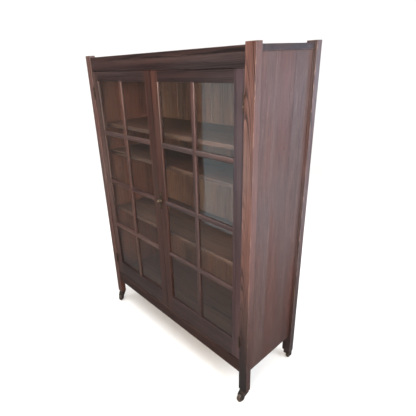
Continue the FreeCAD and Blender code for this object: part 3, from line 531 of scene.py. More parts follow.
@dataclass
class Timber:
    """How a node was cut: way of the grain, the pith's place beside its middle, glued staves, stain."""
    name: str
    way: str
    pith: tuple
    gain: tuple = EVEN_GAIN
    inside_gain: tuple = None
    staves: tuple = NO_STAVES
    stave_tone: float = STAVE_TONE
    wear: float = 1.0
    taper: float = 0.012
    figure: float = 1.0
    face_figure: float = None
    # Brightness left near the floor under painted shade and dirt, overall and on the front face
    grime: float = GRIME_SHADE_SHARE
    face_grime_shade: float = None
    gloss: float = 1.0
    inner: bool = False
    # Dark instead of pale edges: painted shade of the gaps beside them, with dirt
    soiled_and_shaded: bool = False

    def __post_init__(self):
        if self.inside_gain is None:
            self.inside_gain = self.gain
        if self.face_figure is None:
            self.face_figure = self.figure
        if self.face_grime_shade is None:
            self.face_grime_shade = self.grime


def stave_rate(axis, width):
    """Staves per metre across one axis, none across the others."""
    rate = list(NO_STAVES)
    rate[AXES[axis]] = 1.0 / width
    return tuple(rate)


def timbers():
    """Every wooden node of case and doors."""
    looks = setting("oak")
    low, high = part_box("back_boards")
    board_staves = stave_rate("x", (high.x - low.x) / BACK_BOARDS)
    panel_staves = stave_rate("y", PANEL_STAVE)
    shelf_staves = stave_rate("y", SHELF_STAVE)
    cuts = [Timber(f"front_{side}_post", "z", pith=(0.002, 0.05), gain=looks.post_gain, wear=0.6,
                   taper=0.07, figure=0.4, face_figure=1.1, grime=grime, face_grime_shade=face_grime_shade)
            for side, (grime, face_grime_shade) in POST_GRIME_SHADES.items()]
    cuts += [Timber(f"rear_{side}_post", "z", pith=(0.006, 0.034), gain=looks.rear_gain, wear=0.75,
                    taper=0.04, grime=REAR_GRIME_SHADE)
             for side in HANDS]
    cuts += [Timber(f"{side}_side_panel", "z", pith=(0.085, 0.02), gain=looks.side_sheen_gain,
                    inside_gain=looks.inside_gain, staves=panel_staves, wear=0.4, figure=0.5,
                    grime=PANEL_GRIME_SHADE, gloss=0.6)
             for side in HANDS]
    cuts += [
        Timber("top_board", "x", pith=(0.08, 0.02), gain=looks.top_gain, staves=shelf_staves, wear=0.3),
        Timber("top_rail", "x", pith=(0.02, 0.06), gain=looks.rail_gain, wear=0.6, figure=1.8, soiled_and_shaded=True),
        Timber("bottom_rail", "x", pith=(0.02, 0.06), gain=looks.base_gain, wear=0.6, figure=1.5,
               gloss=0.4, soiled_and_shaded=True),
        Timber("rear_top_rail", "x", pith=(0.02, 0.06), inner=True),
        Timber("rear_bottom_rail", "x", pith=(0.02, 0.06), inner=True),
        Timber("back_boards", "z", pith=(0.02, 0.07), gain=looks.back_gain, staves=board_staves, wear=0.2,
               figure=0.55, stave_tone=BACK_STAVE_TONE, inner=True),
    ]
    cuts += [Timber(name, "x", pith=(0.07, 0.015), gain=looks.shelf_gain, staves=shelf_staves, wear=0.3,
                    inner=True)
             for name in ("upper_shelf", "middle_shelf", "lower_shelf", "bottom_board")]
    cuts.append(Timber("door_stop", "x", pith=(0.03, 0.04), inner=True))
    for side in HANDS:
        stile, bar, row = [getattr(looks, f"{side}_{part}_gain") for part in ("stile", "bar", "row")]
        pieces = (
            ("hinge_stile", "z", stile, STILE_GRIME_SHADES[side], True),
            ("meeting_stile", "z", looks.meeting_gain, GRIME_SHADE_SHARE, True),
            ("vertical_muntin", "z", bar, BAR_GRIME_SHADES[side], False),
            ("horizontal_muntins", "x", row, ROW_GRIME_SHADE, False),
            ("door_top_rail", "x", looks.rail_gain, GRIME_SHADE_SHARE, True),
            ("door_bottom_rail", "x", looks.rail_gain, GRIME_SHADE_SHARE, True),
            ("glazing_beads", "z", looks.rail_gain, GRIME_SHADE_SHARE, False),
        )
        cuts += [Timber(f"{side}_{name}", way, pith=(0.02, 0.045), gain=tint, wear=0.35, figure=1.8,
                        grime=grime, soiled_and_shaded=soiled_and_shaded)
                 for name, way, tint, grime, soiled_and_shaded in pieces]
    return cuts


def oak_material(group, cut, number, colours):
    """One node's own cut from the log, so that no two pieces share their figure."""
    material, weave, shader = new_material(f"Oak {cut.name}")
    low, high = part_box(cut.name)
    turn = GRAIN_TURNS[cut.way]
    log_place = Vector((*cut.pith, number * SEED_STEP)) - turn.to_matrix() @ ((low + high) / 2)
    point = object_place(weave)
    mapping = weave.node("ShaderNodeMapping", [point])
    weave.fill(mapping, {"Location": log_place, "Rotation": turn})
    ways = weave.parts(point)
    from_front = (ways["Y"], low.y, low.y + FACE_DEPTH)
    feeds = {
        "Place": mapping.outputs["Vector"], "Point": point, "Low corner": low, "High corner": high,
        "Staves": cut.staves, "Stave tone": cut.stave_tone, "Tone": TONE_STEPS[number % len(TONE_STEPS)],
        "Wear": cut.wear, "Taper": cut.taper,
        "Figure": weave.ramp(*from_front, cut.face_figure, cut.figure),
        "Grime": weave.ramp(*from_front, cut.face_grime_shade, cut.grime),
    }
    # The two faces of one board get lit and shaded copies: painted warm light inside, painted bluish sheen
    # outside
    inside = weave.math("LESS_THAN", weave.math("ABSOLUTE", ways["X"]), abs(low.x + high.x) / 2)
    for name in ("Dark", "Middle", "Light"):
        outer, inner = [opaque([channel * share for channel, share in zip(colours[name], shares)])
                        for shares in (cut.gain, cut.inside_gain)]
        feeds[name] = weave.blend(inside, outer, inner)
    # Edges beside gaps go dark: painted shade with dirt
    feeds["Worn"] = feeds["Dark"] if cut.soiled_and_shaded else opaque(colours["Worn"])
    oak = weave.node("ShaderNodeGroup", node_tree=group)
    weave.fill(oak, feeds)
    weave.fill(shader, {
        "Base Color": oak.outputs["Color"],
        "Roughness": oak.outputs["Roughness"],
        "Normal": oak.outputs["Normal"],
        "Specular IOR Level": SPECULAR * cut.gloss,
        "Coat Weight": COAT * cut.gloss,
        "Coat Roughness": COAT_DULLNESS,
    })
    return material


# Eased edges

WELD_DISTANCE = 1e-5
FLAT_ANGLE = math.radians(0.5)
EASED_ANGLE = math.radians(40.0)
EASED_SEGMENTS = 2
SOFT_ANGLE = math.radians(35.0)


def soft_shading():
    """Smooth over shallow edges, sharp at the others, without the stored normals."""
    tree = bpy.data.node_groups.new("Soft shading", "GeometryNodeTree")
    for way in ("INPUT", "OUTPUT"):
        tree.interface.new_socket("Geometry", in_out=way, socket_type="NodeSocketGeometry")
    weave = Weave(tree)
    given = weave.node("NodeGroupInput").outputs["Geometry"]
    bare = weave.node("GeometryNodeRemoveAttribute", [given])
    bare.inputs["Name"].default_value = "custom_normal"
    faces = weave.node("GeometryNodeSetShadeSmooth", [bare.outputs["Geometry"]], domain="FACE")
    fold = weave.node("GeometryNodeInputMeshEdgeAngle").outputs["Unsigned Angle"]
    shallow = weave.node("FunctionNodeCompare", [fold, SOFT_ANGLE], operation="LESS_THAN")
    edges = weave.node("GeometryNodeSetShadeSmooth", [faces.outputs["Geometry"]], domain="EDGE")
    weave.feed(edges.inputs["Shade Smooth"], shallow.outputs["Result"])
    weave.node("NodeGroupOutput", [edges.outputs["Geometry"]])
    return tree


# Metals and glass

SLOT_SHADE_LAYER = "grime"
BRASS_CLOUDS = ((140.0, 140.0, 140.0), 4.0)
BRASS_SPECKS = ((900.0, 900.0, 900.0), 2.0)
BARE_BOUNDS = (0.4, 0.75)
SPECK_BOUNDS = (0.6, 0.75)
SPECK_COVER = 0.5
TARNISH_DULLNESS = 0.52
BARE_DULLNESS = 0.3
BRASS_RELIEF = 0.00008
BRASS_METALLIC = 0.75
AGED_POLISH = -0.08
HANDLED_POLISH = 0.04
SCREW_POLISH = 0.06

IRON_CLOUDS = ((95.0, 95.0, 95.0), 5.0)
IRON_PITS = ((700.0, 700.0, 700.0), 2.0)
RUST_BOUNDS = (0.46, 0.66)
IRON_DULLNESS = 0.48
RUST_DULLNESS = 0.78
IRON_RELIEF = 0.00015
IRON_METALLIC = 0.55

RIPPLE_STRETCH = 0.45
RIPPLE_DETAIL = 1.0
SMEARS = ((13.0, 13.0, 5.0), 3.0)
SMEAR_BOUNDS = (0.45, 0.8)
SMEAR_DULLNESS = (0.01, 0.06)
GLASS_IOR = 1.47


def brass_material(name, polish, dirty_shaded_slots=False):
    """Brass under a dark skin that has rubbed off in places."""
    looks = setting("metal")
    material, weave, shader = new_material(name)
    point = object_place(weave)
    cloud = weave.spread(point, *BRASS_CLOUDS)
    speck = weave.spread(point, *BRASS_SPECKS)
    bare = weave.ramp(weave.math("ADD", cloud, polish), *BARE_BOUNDS)
    skin = weave.blend(bare, opaque(looks.tarnish), opaque(looks.brass))
    skin = weave.blend(weave.ramp(speck, *SPECK_BOUNDS, 0.0, SPECK_COVER), skin, opaque(looks.grime))
    # Screw slots darken: dirt and painted shade
    if dirty_shaded_slots:
        slot_dirt_and_shade = weave.node("ShaderNodeAttribute", attribute_name=SLOT_SHADE_LAYER).outputs["Fac"]
        skin = weave.blend(slot_dirt_and_shade, skin, opaque(looks.grime))
    weave.fill(shader, {
        "Base Color": skin,
        "Roughness": weave.between(bare, TARNISH_DULLNESS, BARE_DULLNESS),
        "Normal": weave.bump(weave.math("ADD", cloud, speck), BRASS_RELIEF),
        "Metallic": BRASS_METALLIC,
    })
    return material


def iron_material(name):
    """Dull cast iron with browned patches and a pitted skin."""
    looks = setting("metal")
    material, weave, shader = new_material(name)
    point = object_place(weave)
    cloud = weave.spread(point, *IRON_CLOUDS)
    pit = weave.spread(point, *IRON_PITS)
    patch = weave.ramp(cloud, *RUST_BOUNDS)
    skin = weave.blend(patch, opaque(looks.iron), opaque(looks.rust))
    weave.fill(shader, {
        "Base Color": skin,
        "Roughness": weave.between(patch, IRON_DULLNESS, RUST_DULLNESS),
        "Normal": weave.bump(weave.math("ADD", pit, patch), IRON_RELIEF),
        "Metallic": IRON_METALLIC,
    })
    return material


def glass_material():
    """Old window glass: clear, a little wavy, and open to the lamps' light."""
    looks = setting("glass")
    material, weave, shader = new_material("Wavy glass")
    point = object_place(weave)
    rate = 1.0 / looks.ripple_pitch
    wave = weave.spread(point, (rate, rate, rate * RIPPLE_STRETCH), RIPPLE_DETAIL)
    smear = weave.spread(point, *SMEARS)
    weave.fill(shader, {
        "Base Color": opaque(looks.tint),
        "Roughness": weave.ramp(smear, *SMEAR_BOUNDS, *SMEAR_DULLNESS),
        "Normal": weave.bump(wave, looks.ripple),
        "Transmission Weight": 1.0,
        "IOR": GLASS_IOR,
    })
    clear = weave.node("ShaderNodeBsdfTransparent").outputs["BSDF"]
    shadow = weave.node("ShaderNodeLightPath").outputs["Is Shadow Ray"]
    mixed = weave.node("ShaderNodeMixShader", [shadow, shader.outputs["BSDF"], clear])
    weave.feed(material.node_tree.nodes["Material Output"].inputs["Surface"], mixed.outputs["Shader"])
    return material


def screw_material():
    name = "Brass screws"
    return bpy.data.materials.get(name) or brass_material(name, SCREW_POLISH, dirty_shaded_slots=True)


def nail_material():
    name = "Iron nails"
    return bpy.data.materials.get(name) or iron_material(name)


# Fixings

# Upward parts of the normals of level, slanted and upright faces
LEVEL = 0.9
SLANTED = 0.2
UPRIGHT = 0.1

HEAD_SEGMENTS = 2
HEAD_ANGLE = math.radians(40.0)
SCREW_SIDES = 20
BRAD_SIDES = 10
# Shares of a screw's rise and radius, a nail's width and a brad's rise
SCREW_ROUND = 0.7
SLOT_DEPTH = 0.7
HALF_SLOT = 0.14
SLOT_MARGIN = 1.05
NAIL_ASPECT = 0.72
NAIL_INSET = 0.22
NAIL_ROUND = 0.08
BRAD_ROUND = 0.8
# Places of screws along a hinge leaf and up the bolt's guide
LEAF_SCREWS = (0.18, 0.5, 0.82)
GUIDE_SCREWS = (0.25, 0.75)
# The turn from one slot to the next, so that no two are alike
SPIN_STEP = 2.39996
FORWARD = (0.0, -1.0, 0.0)
BACKWARD = (0.0, 1.0, 0.0)
DOWNWARD = (0.0, 0.0, -1.0)


def pick_faces(item, wanted):
    """Select, in edit mode, the faces for which wanted() holds."""
    mesh = bmesh.from_edit_mesh(item.data)
    for face in mesh.faces:
        face.select_set(wanted(face))
    mesh.select_flush_mode()
    bmesh.update_edit_mesh(item.data)


def soil_and_shade_faces(item, wanted):
    """Mark faces for dirt and painted shade, in edit mode."""
    mesh = bmesh.from_edit_mesh(item.data)
    layer = mesh.faces.layers.float.new(SLOT_SHADE_LAYER)
    for face in mesh.faces:
        face[layer] = 1.0 if wanted(face) else 0.0
    bmesh.update_edit_mesh(item.data)


def round_faces(item, wanted, offset, segments=HEAD_SEGMENTS):
    """Bevel, in edit mode, the edges of the faces for which wanted() holds."""
    pick_faces(item, wanted)
    bpy.ops.mesh.bevel(offset=offset, segments=segments, affect="EDGES")


def start_editing():
    bpy.ops.object.mode_set(mode="EDIT")
    bpy.ops.mesh.select_mode(type="FACE")


def points_up(face, least=LEVEL):
    return face.normal.z > least


def in_slot(face, reach, least):
    """Whether a face lies within reach of the slot's middle line and points up enough."""
    return points_up(face, least) and abs(face.calc_center_median().x) < reach


def model_screw(radius, rise, root):
    """A round slotted head on z = 0, its shank hidden below."""
    bpy.ops.object.select_all(action="DESELECT")
    bpy.ops.mesh.primitive_cylinder_add(vertices=SCREW_SIDES, radius=radius, depth=rise + root,
                                        location=(0.0, 0.0, (rise - root) / 2))
    item = bpy.context.object
    start_editing()
    round_faces(item, points_up, rise * SCREW_ROUND)
    half_slot = radius * HALF_SLOT
    for side in (-1, 1):
        bpy.ops.mesh.select_all(action="SELECT")
        bpy.ops.mesh.bisect(plane_co=(side * half_slot, 0.0, 0.0), plane_no=(1.0, 0.0, 0.0))
    pick_faces(item, lambda face: in_slot(face, half_slot, SLANTED))
    bpy.ops.mesh.extrude_region_move(TRANSFORM_OT_translate={"value": (0.0, 0.0, -rise * SLOT_DEPTH)})
    # Slot floor and walls take the dark colour: dirt and painted shade
    soil_and_shade_faces(item, lambda face: in_slot(face, half_slot * SLOT_MARGIN, -UPRIGHT))
    bpy.ops.mesh.select_all(action="SELECT")
    bpy.ops.mesh.normals_make_consistent(inside=False)
    bpy.ops.object.mode_set(mode="OBJECT")
    return item


def model_nail(width, rise):
    """The four-sided hammered head of a cut nail on z = 0."""
    bpy.ops.object.select_all(action="DESELECT")
    bpy.ops.mesh.primitive_cube_add(size=1.0, location=(0.0, 0.0, 0.0),
                                    scale=(width, width * NAIL_ASPECT, rise))
    item = bpy.context.object
    bpy.ops.object.transform_apply(location=True, rotation=True, scale=True)
    start_editing()
    pick_faces(item, points_up)
    bpy.ops.mesh.inset(thickness=width * NAIL_INSET, depth=rise / 2)
    round_faces(item, lambda face: abs(face.normal.z) < UPRIGHT, width * NAIL_ROUND)
    bpy.ops.object.mode_set(mode="OBJECT")
    return item


def model_brad(radius, rise):
    """The small domed head of a brad on z = 0."""
    bpy.ops.object.select_all(action="DESELECT")
    bpy.ops.mesh.primitive_cylinder_add(vertices=BRAD_SIDES, radius=radius, depth=rise * 2,
                                        location=(0.0, 0.0, 0.0))
    item = bpy.context.object
    start_editing()
    round_faces(item, points_up, rise * BRAD_ROUND)
    bpy.ops.object.mode_set(mode="OBJECT")
    return item


def seat(point, outward, spin):
    """Where a head sits: its own z turned outwards, its slot spun."""
    turn = Vector(outward).to_track_quat("Z", "Y").to_matrix().to_4x4()
    return Matrix.Translation(point) @ turn @ Matrix.Rotation(spin, 4, "Z")


def repeat(name, item, places, outward, body, material, spin_step=SPIN_STEP):
    """Copies of one head, each with its own mesh, joined to one piece that moves with a body."""
    copies = []
    for number, place in enumerate(places):
        mesh = item.data.copy()
        mesh.transform(seat(place, outward, number * spin_step))
        copy = bpy.data.objects.new(f"{name}_{number}", mesh)
        bpy.context.scene.collection.objects.link(copy)
        copies.append(copy)
    bpy.data.objects.remove(item)
    bpy.ops.object.select_all(action="DESELECT")
    bpy.context.view_layer.objects.active = copies[0]
    for copy in copies:
        copy.select_set(True)
    bpy.ops.object.join()
    piece = bpy.context.object
    piece.name = name
    bpy.ops.object.shade_smooth_by_angle(angle=HEAD_ANGLE)
    piece.data.materials.clear()
    piece.data.materials.append(material)
    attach(piece, body)


def even_shares(count):
    """The middles of equal parts of a length."""
    return [(number + 0.5) / count for number in range(count)]


# Stage

FLOOR_SIDES = 96
COVE_SEGMENTS = 12
FLOOR_CLOUDS = ((1.4, 1.4, 1.4), 3.0)
FLOOR_SHADE = 0.94
FLOOR_DULLNESS = 0.7
# Glossy depth counts whole bounces, so a mirror image has more than half a one
HALF_BOUNCE = 0.5
SENSOR_WIDTH = 36.0
CASE_MIDDLE = (0.0, 0.0, 0.8)
SIDE_MIDDLE = (0.5, 0.1, 0.9)
# Place, target and size of each lamp
LAMPS = {
    "top": ((-0.3, -0.8, 4.4), CASE_MIDDLE, (3.6, 3.6)),
    "key": ((3.1, 0.1, 2.3), CASE_MIDDLE, (2.2, 2.2)),
    "room": ((1.7, -2.2, 1.7), CASE_MIDDLE, (1.6, 1.6)),
    "window": ((2.4, 3.4, 0.7), SIDE_MIDDLE, (1.8, 1.5)),
    "card": ((-0.625, -1.25, 0.64), (-0.625, 0.0, 0.64), (0.45, 1.22)),
}


def make_floor(settings):
    """A round pale floor that curves up into a backdrop."""
    bpy.ops.object.select_all(action="DESELECT")
    bpy.ops.mesh.primitive_circle_add(vertices=FLOOR_SIDES, radius=settings.floor_radius, fill_type="NGON",
                                      location=(0.0, 0.0, 0.0))
    floor = bpy.context.object
    floor.name = "studio_floor"
    bpy.ops.object.mode_set(mode="EDIT")
    bpy.ops.mesh.select_all(action="SELECT")
    bpy.ops.mesh.extrude_region_move(TRANSFORM_OT_translate={"value": (0.0, 0.0, settings.wall_height)})
    bpy.ops.mesh.delete(type="ONLY_FACE")
    round_faces(floor, lambda face: abs(face.normal.z) > LEVEL, settings.cove, COVE_SEGMENTS)
    bpy.ops.object.mode_set(mode="OBJECT")
    bpy.ops.object.shade_smooth()
    floor.data.materials.append(floor_material(settings))


def floor_material(settings):
    """Pale to the eye and the lamps' light, darker where a door or the glass mirrors it."""
    material, weave, shader = new_material("Studio floor")
    place = object_place(weave)
    cloud = weave.spread(place, *FLOOR_CLOUDS)
    pale = weave.blend(cloud, darker(settings.floor, FLOOR_SHADE), opaque(settings.floor))
    bounces = weave.node("ShaderNodeLightPath").outputs["Glossy Depth"]
    mirrored = weave.math("GREATER_THAN", bounces, HALF_BOUNCE)
    beside = weave.ramp(weave.parts(place)["X"], *settings.mirrored_from)
    dim = darker(settings.floor, settings.mirrored_share)
    image = weave.blend(beside, dim, opaque(settings.mirrored))
    weave.fill(shader, {"Base Color": weave.blend(mirrored, pale, image), "Roughness": FLOOR_DULLNESS})
    return material


def aimed(place, target):
    """A turn that makes a lamp at a place look at a target."""
    return (Vector(target) - Vector(place)).to_track_quat("-Z", "Y").to_euler()


def make_lamps(settings):
    """Area lamps that the camera doesn't see, and an even white light all round."""
    for name, (place, target, size) in LAMPS.items():
        bpy.ops.object.light_add(type="AREA", location=place, rotation=aimed(place, target))
        lamp = bpy.context.object
        lamp.name = f"studio_{name}"
        lamp.data.shape = "RECTANGLE"
        lamp.data.size, lamp.data.size_y = size
        lamp.data.energy = getattr(settings, f"{name}_power")
        lamp.data.color = getattr(settings, f"{name}_colour")
        lamp.visible_camera = False
    world = bpy.data.worlds.new("Studio light")
    world.use_nodes = True
    background = world.node_tree.nodes["Background"]
    Weave(world.node_tree).fill(background, {"Color": WHITE, "Strength": settings.sky})
    bpy.context.scene.world = world


def make_camera(settings):
    """The camera of the picture, turned by azimuth, elevation and roll."""
    azimuth, elevation, roll = settings.azimuth, settings.elevation, settings.roll
    back = Vector((math.sin(azimuth) * math.cos(elevation), -math.cos(azimuth) * math.cos(elevation),
                   math.sin(elevation)))
    level = (-back).cross(Vector((0.0, 0.0, 1.0))).normalized()
    upright = level.cross(-back)
    right = level * math.cos(roll) + upright * math.sin(roll)
    up = upright * math.cos(roll) - level * math.sin(roll)
    bpy.ops.object.camera_add()
    camera = bpy.context.object
    camera.name = "studio_camera"
    turn = Matrix((right, up, back)).transposed().to_4x4()
    camera.matrix_world = Matrix.Translation(settings.camera_place) @ turn
    camera.data.sensor_width = SENSOR_WIDTH
    camera.data.lens = camera.data.sensor_width * settings.focal_share
    camera.data.shift_x, camera.data.shift_y = settings.shift
    bpy.context.scene.camera = camera
    bpy.context.scene.view_settings.view_transform = "Standard"


# Operators

class BOOKCASE_OT_ease_edges(bpy.types.Operator):
    """Round the sharp edges of all wooden nodes a little"""
    bl_idname = "bookcase.ease_edges"
    bl_label = "Ease edges"

    def execute(self, context):
        steps = (
            ("Weld", "WELD", {"merge_threshold": WELD_DISTANCE}),
            ("Flat faces", "DECIMATE", {"decimate_type": "DISSOLVE", "angle_limit": FLAT_ANGLE}),
            ("Eased edges", "BEVEL", {"width": setting("oak").edge_round, "segments": EASED_SEGMENTS,
                                      "limit_method": "ANGLE", "angle_limit": EASED_ANGLE}),
            ("Soft shading", "NODES", {"node_group": soft_shading()}),
            ("Level faces", "WEIGHTED_NORMAL", {"keep_sharp": True}),
        )
        for cut in timbers():
            for name, kind, choices in steps:
                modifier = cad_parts[cut.name].modifiers.new(name, kind)
                for choice, value in choices.items():
                    setattr(modifier, choice, value)
        return {"FINISHED"}


class BOOKCASE_OT_stain_oak(bpy.types.Operator):
    """Give every wooden node of case and doors its own cut of stained oak"""
    bl_idname = "bookcase.stain_oak"
    bl_label = "Stain oak"

    def execute(self, context):
        looks = setting("oak")
        group = oak_group(looks)
        outer = {"Dark": looks.dark, "Middle": looks.middle, "Light": looks.light, "Worn": looks.worn}
        inner = {"Dark": looks.inner_dark, "Middle": looks.inner_middle, "Light": looks.inner_light,
                 "Worn": looks.worn}
        for number, cut in enumerate(timbers()):
            dress_node(cut.name, oak_material(group, cut, number, inner if cut.inner else outer))
        return {"FINISHED"}


class BOOKCASE_OT_wear_wheels(bpy.types.Operator):
    """Give the caster wheels bare worn wood with rings round their axles"""
    bl_idname = "bookcase.wear_wheels"
    bl_label = "Wear wheels"

    def execute(self, context):
        looks = setting("wheel")
        group = bpy.data.node_groups["Stained oak"]
        colours = {"Dark": looks.dark, "Middle": looks.middle, "Light": looks.light, "Worn": looks.light}
        for number, corner in enumerate(CORNERS):
            cut = Timber(f"{corner}_caster_wheel", "x", pith=(0.0, 0.0))
            dress_node(cut.name, oak_material(group, cut, number, colours))
        return {"FINISHED"}


class BOOKCASE_OT_glaze(bpy.types.Operator):
    """Give the panes of both doors wavy glass"""
    bl_idname = "bookcase.glaze"
    bl_label = "Glaze doors"

    def execute(self, context):
        material = glass_material()
        for side in HANDS:
            dress_node(f"{side}_glass_panes", material)
        return {"FINISHED"}


class BOOKCASE_OT_darken_metal(bpy.types.Operator):
    """Give hinges, latch and bolt aged brass and the casters browned iron"""
    bl_idname = "bookcase.darken_metal"
    bl_label = "Darken metal"

    def execute(self, context):
        aged = brass_material("Aged brass", AGED_POLISH)
        handled = brass_material("Handled brass", HANDLED_POLISH)
        iron = iron_material("Browned iron")
        for side in HANDS:
            for name in ("case_hinge_leaves", "hinge_pins", "door_hinge_leaves"):
                dress_node(f"{side}_{name}", aged)
        for name in ("latch_plate", "latch_tongue", "bolt_guide", "bolt_keeper", "shelf_pegs"):
            dress_node(name, aged)
        for name in ("latch_knob", "door_bolt"):
            dress_node(name, handled)
        dress_node("caster_sockets", iron)
        for corner in CORNERS:
            dress_node(f"{corner}_caster_horn", iron)
            dress_node(f"{corner}_caster_axle", iron)
        return {"FINISHED"}


class BOOKCASE_OT_hinge_screws(bpy.types.Operator):
    """Put three flush screws in each hinge leaf"""
    bl_idname = "bookcase.hinge_screws"
    bl_label = "Hinge screws"
    leaf_length: length("Leaf length", "Height of a hinge leaf", 0.054)
    leaf_depth: length("Leaf depth", "Screws' distance from the back of a leaf", 0.0085)
    leaf_gap: length("Leaf gap", "Gap between the closed leaves", 0.0004)

    def execute(self, context):
        sizes = setting("fixing")
        for side, hand in HANDS.items():
            low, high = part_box(f"{side}_case_hinge_leaves")
            pin_low, pin_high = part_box(f"{side}_hinge_pins")
            axis = (pin_low.x + pin_high.x) / 2
            foots = (low.z, high.z - self.leaf_length)
            heights = [foot + share * self.leaf_length for foot in foots for share in LEAF_SCREWS]
            for body, leaf, way in (("case", "case", -hand), (f"{side}_door", "door", hand)):
                face = axis - way * self.leaf_gap / 2
                places = [(face, high.y - self.leaf_depth, height) for height in heights]
                screw = model_screw(sizes.leaf_screw, sizes.leaf_screw_rise, sizes.leaf_screw_rise)
                repeat(f"{side}_{leaf}_leaf_screws", screw, places, (way, 0.0, 0.0), body,
                       screw_material())
        return {"FINISHED"}


class BOOKCASE_OT_latch_screws(bpy.types.Operator):
    """Put a domed screw at each end of the latch plate"""
    bl_idname = "bookcase.latch_screws"
    bl_label = "Latch screws"
    end_distance: length("End distance", "From an end of the plate to its screw", 0.009)

    def execute(self, context):
        sizes = setting("fixing")
        low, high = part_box("latch_plate")
        middle = (low.x + high.x) / 2
        places = [(middle, low.y, z) for z in (low.z + self.end_distance, high.z - self.end_distance)]
        screw = model_screw(sizes.plate_screw, sizes.plate_screw_rise, sizes.plate_screw_rise)
        repeat("latch_plate_screws", screw, places, FORWARD, "right_door", screw_material())
        return {"FINISHED"}


class BOOKCASE_OT_bolt_screws(bpy.types.Operator):
    """Put the small screws in the bolt's guide and its keeper"""
    bl_idname = "bookcase.bolt_screws"
    bl_label = "Bolt screws"
    plate_thickness: length("Plate thickness", "Thickness of the guide's plate", 0.0015)
    side_distance: length("Side distance", "From a plate's side to its screws", 0.0024)

    def execute(self, context):
        sizes = setting("fixing")
        rise = sizes.plate_screw_rise
        low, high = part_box("bolt_guide")
        places = [(x, low.y + self.plate_thickness, low.z + share * (high.z - low.z))
                  for x in self.columns(low, high) for share in GUIDE_SCREWS]
        screw = model_screw(sizes.bolt_screw, rise, rise)
        repeat("bolt_guide_screws", screw, places, BACKWARD, "left_door", screw_material())
        low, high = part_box("bolt_keeper")
        places = [(x, (low.y + high.y) / 2, low.z) for x in self.columns(low, high)]
        screw = model_screw(sizes.bolt_screw, rise / 2, rise)
        repeat("bolt_keeper_screws", screw, places, DOWNWARD, "case", screw_material())
        return {"FINISHED"}

    def columns(self, low, high):
        """Where the screws stand across a plate."""
        return low.x + self.side_distance, high.x - self.side_distance


class BOOKCASE_OT_back_nails(bpy.types.Operator):
    """Nail each back board to both rear rails"""
    bl_idname = "bookcase.back_nails"
    bl_label = "Back nails"
    per_board: IntProperty(name="Per board", description="Nails across one board at each rail", default=2)

    def execute(self, context):
        sizes = setting("fixing")
        low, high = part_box("back_boards")
        pitch = (high.x - low.x) / BACK_BOARDS
        places = []
        for rail in ("rear_top_rail", "rear_bottom_rail"):
            rail_low, rail_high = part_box(rail)
            height = (rail_low.z + rail_high.z) / 2
            for board in range(BACK_BOARDS):
                places += [(low.x + pitch * (board + share), high.y, height)
                           for share in even_shares(self.per_board)]
        nail = model_nail(sizes.nail, sizes.nail_rise)
        repeat("back_nails", nail, places, BACKWARD, "case", nail_material())
        return {"FINISHED"}


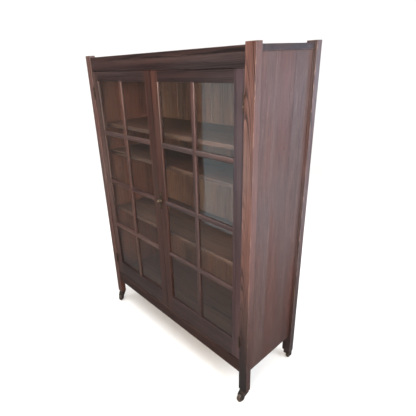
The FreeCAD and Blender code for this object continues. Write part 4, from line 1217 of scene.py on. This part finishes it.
class BOOKCASE_OT_bead_brads(bpy.types.Operator):
    """Pin the glazing beads with brads"""
    bl_idname = "bookcase.bead_brads"
    bl_label = "Bead brads"
    per_side: IntProperty(name="Per side", description="Brads along one side of a pane", default=2)
    inset: length("Inset", "From a bead's outer edge to its brads", 0.0035)
    half_web: length("Half web", "Half the gap between beads of neighbouring panes", 0.0035)

    def execute(self, context):
        sizes = setting("fixing")
        for side in HANDS:
            brad = model_brad(sizes.brad, sizes.brad_rise)
            repeat(f"{side}_bead_brads", brad, self.places(side), BACKWARD, f"{side}_door",
                   nail_material(), spin_step=0.0)
        return {"FINISHED"}

    def places(self, side):
        """Points along the middle of each bead, round every pane."""
        low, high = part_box(f"{side}_glazing_beads")
        bar_low, bar_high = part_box(f"{side}_vertical_muntin")
        half_bar = (bar_high.x - bar_low.x) / 2
        rows_low, rows_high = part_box(f"{side}_horizontal_muntins")
        columns = (low.x, (bar_low.x + bar_high.x) / 2, high.x)
        rows = (low.z, rows_low.z + half_bar, (rows_low.z + rows_high.z) / 2, rows_high.z - half_bar,
                high.z)
        places = []
        for left, right in zip(columns, columns[1:]):
            left_line = left + self.inset_at(left, low.x)
            right_line = right - self.inset_at(right, high.x)
            for bottom, top in zip(rows, rows[1:]):
                bottom_line = bottom + self.inset_at(bottom, low.z)
                top_line = top - self.inset_at(top, high.z)
                for share in even_shares(self.per_side):
                    x = left_line + share * (right_line - left_line)
                    z = bottom_line + share * (top_line - bottom_line)
                    places += [(x, high.y, bottom_line), (x, high.y, top_line),
                               (left_line, high.y, z), (right_line, high.y, z)]
        return places

    def inset_at(self, edge, outer_edge):
        """Beads beside a muntin start at its web, the others at the rebate."""
        return self.inset if edge == outer_edge else self.inset + self.half_web


class BOOKCASE_OT_stage(bpy.types.Operator):
    """Set up floor, backdrop, lamps and the camera of the picture"""
    bl_idname = "bookcase.stage"
    bl_label = "Stage"

    def execute(self, context):
        settings = setting("stage")
        make_floor(settings)
        make_lamps(settings)
        make_camera(settings)
        return {"FINISHED"}


STEPS = (
    BOOKCASE_OT_ease_edges,
    BOOKCASE_OT_stain_oak,
    BOOKCASE_OT_wear_wheels,
    BOOKCASE_OT_glaze,
    BOOKCASE_OT_darken_metal,
    BOOKCASE_OT_hinge_screws,
    BOOKCASE_OT_latch_screws,
    BOOKCASE_OT_bolt_screws,
    BOOKCASE_OT_back_nails,
    BOOKCASE_OT_bead_brads,
    BOOKCASE_OT_stage,
)


class BOOKCASE_PT_steps(bpy.types.Panel):
    """Steps that finish the bookcase, in order"""
    bl_idname = "BOOKCASE_PT_steps"
    bl_label = "Bookcase"
    bl_space_type = "VIEW_3D"
    bl_region_type = "UI"
    bl_category = "Bookcase"

    def draw(self, context):
        for step in STEPS:
            self.layout.operator(step.bl_idname)


def register():
    for name, group in SETTINGS.items():
        bpy.utils.register_class(group)
        setattr(bpy.types.Scene, f"bookcase_{name}", PointerProperty(type=group))
    for step in STEPS:
        bpy.utils.register_class(step)
    bpy.utils.register_class(BOOKCASE_PT_steps)


def unregister():
    bpy.utils.unregister_class(BOOKCASE_PT_steps)
    for step in reversed(STEPS):
        bpy.utils.unregister_class(step)
    for name, group in SETTINGS.items():
        delattr(bpy.types.Scene, f"bookcase_{name}")
        bpy.utils.unregister_class(group)


def main():
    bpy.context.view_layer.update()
    register()
    for step in STEPS:
        family, name = step.bl_idname.split(".")
        getattr(getattr(bpy.ops, family), name)()


if __name__ == "__main__":
    main()
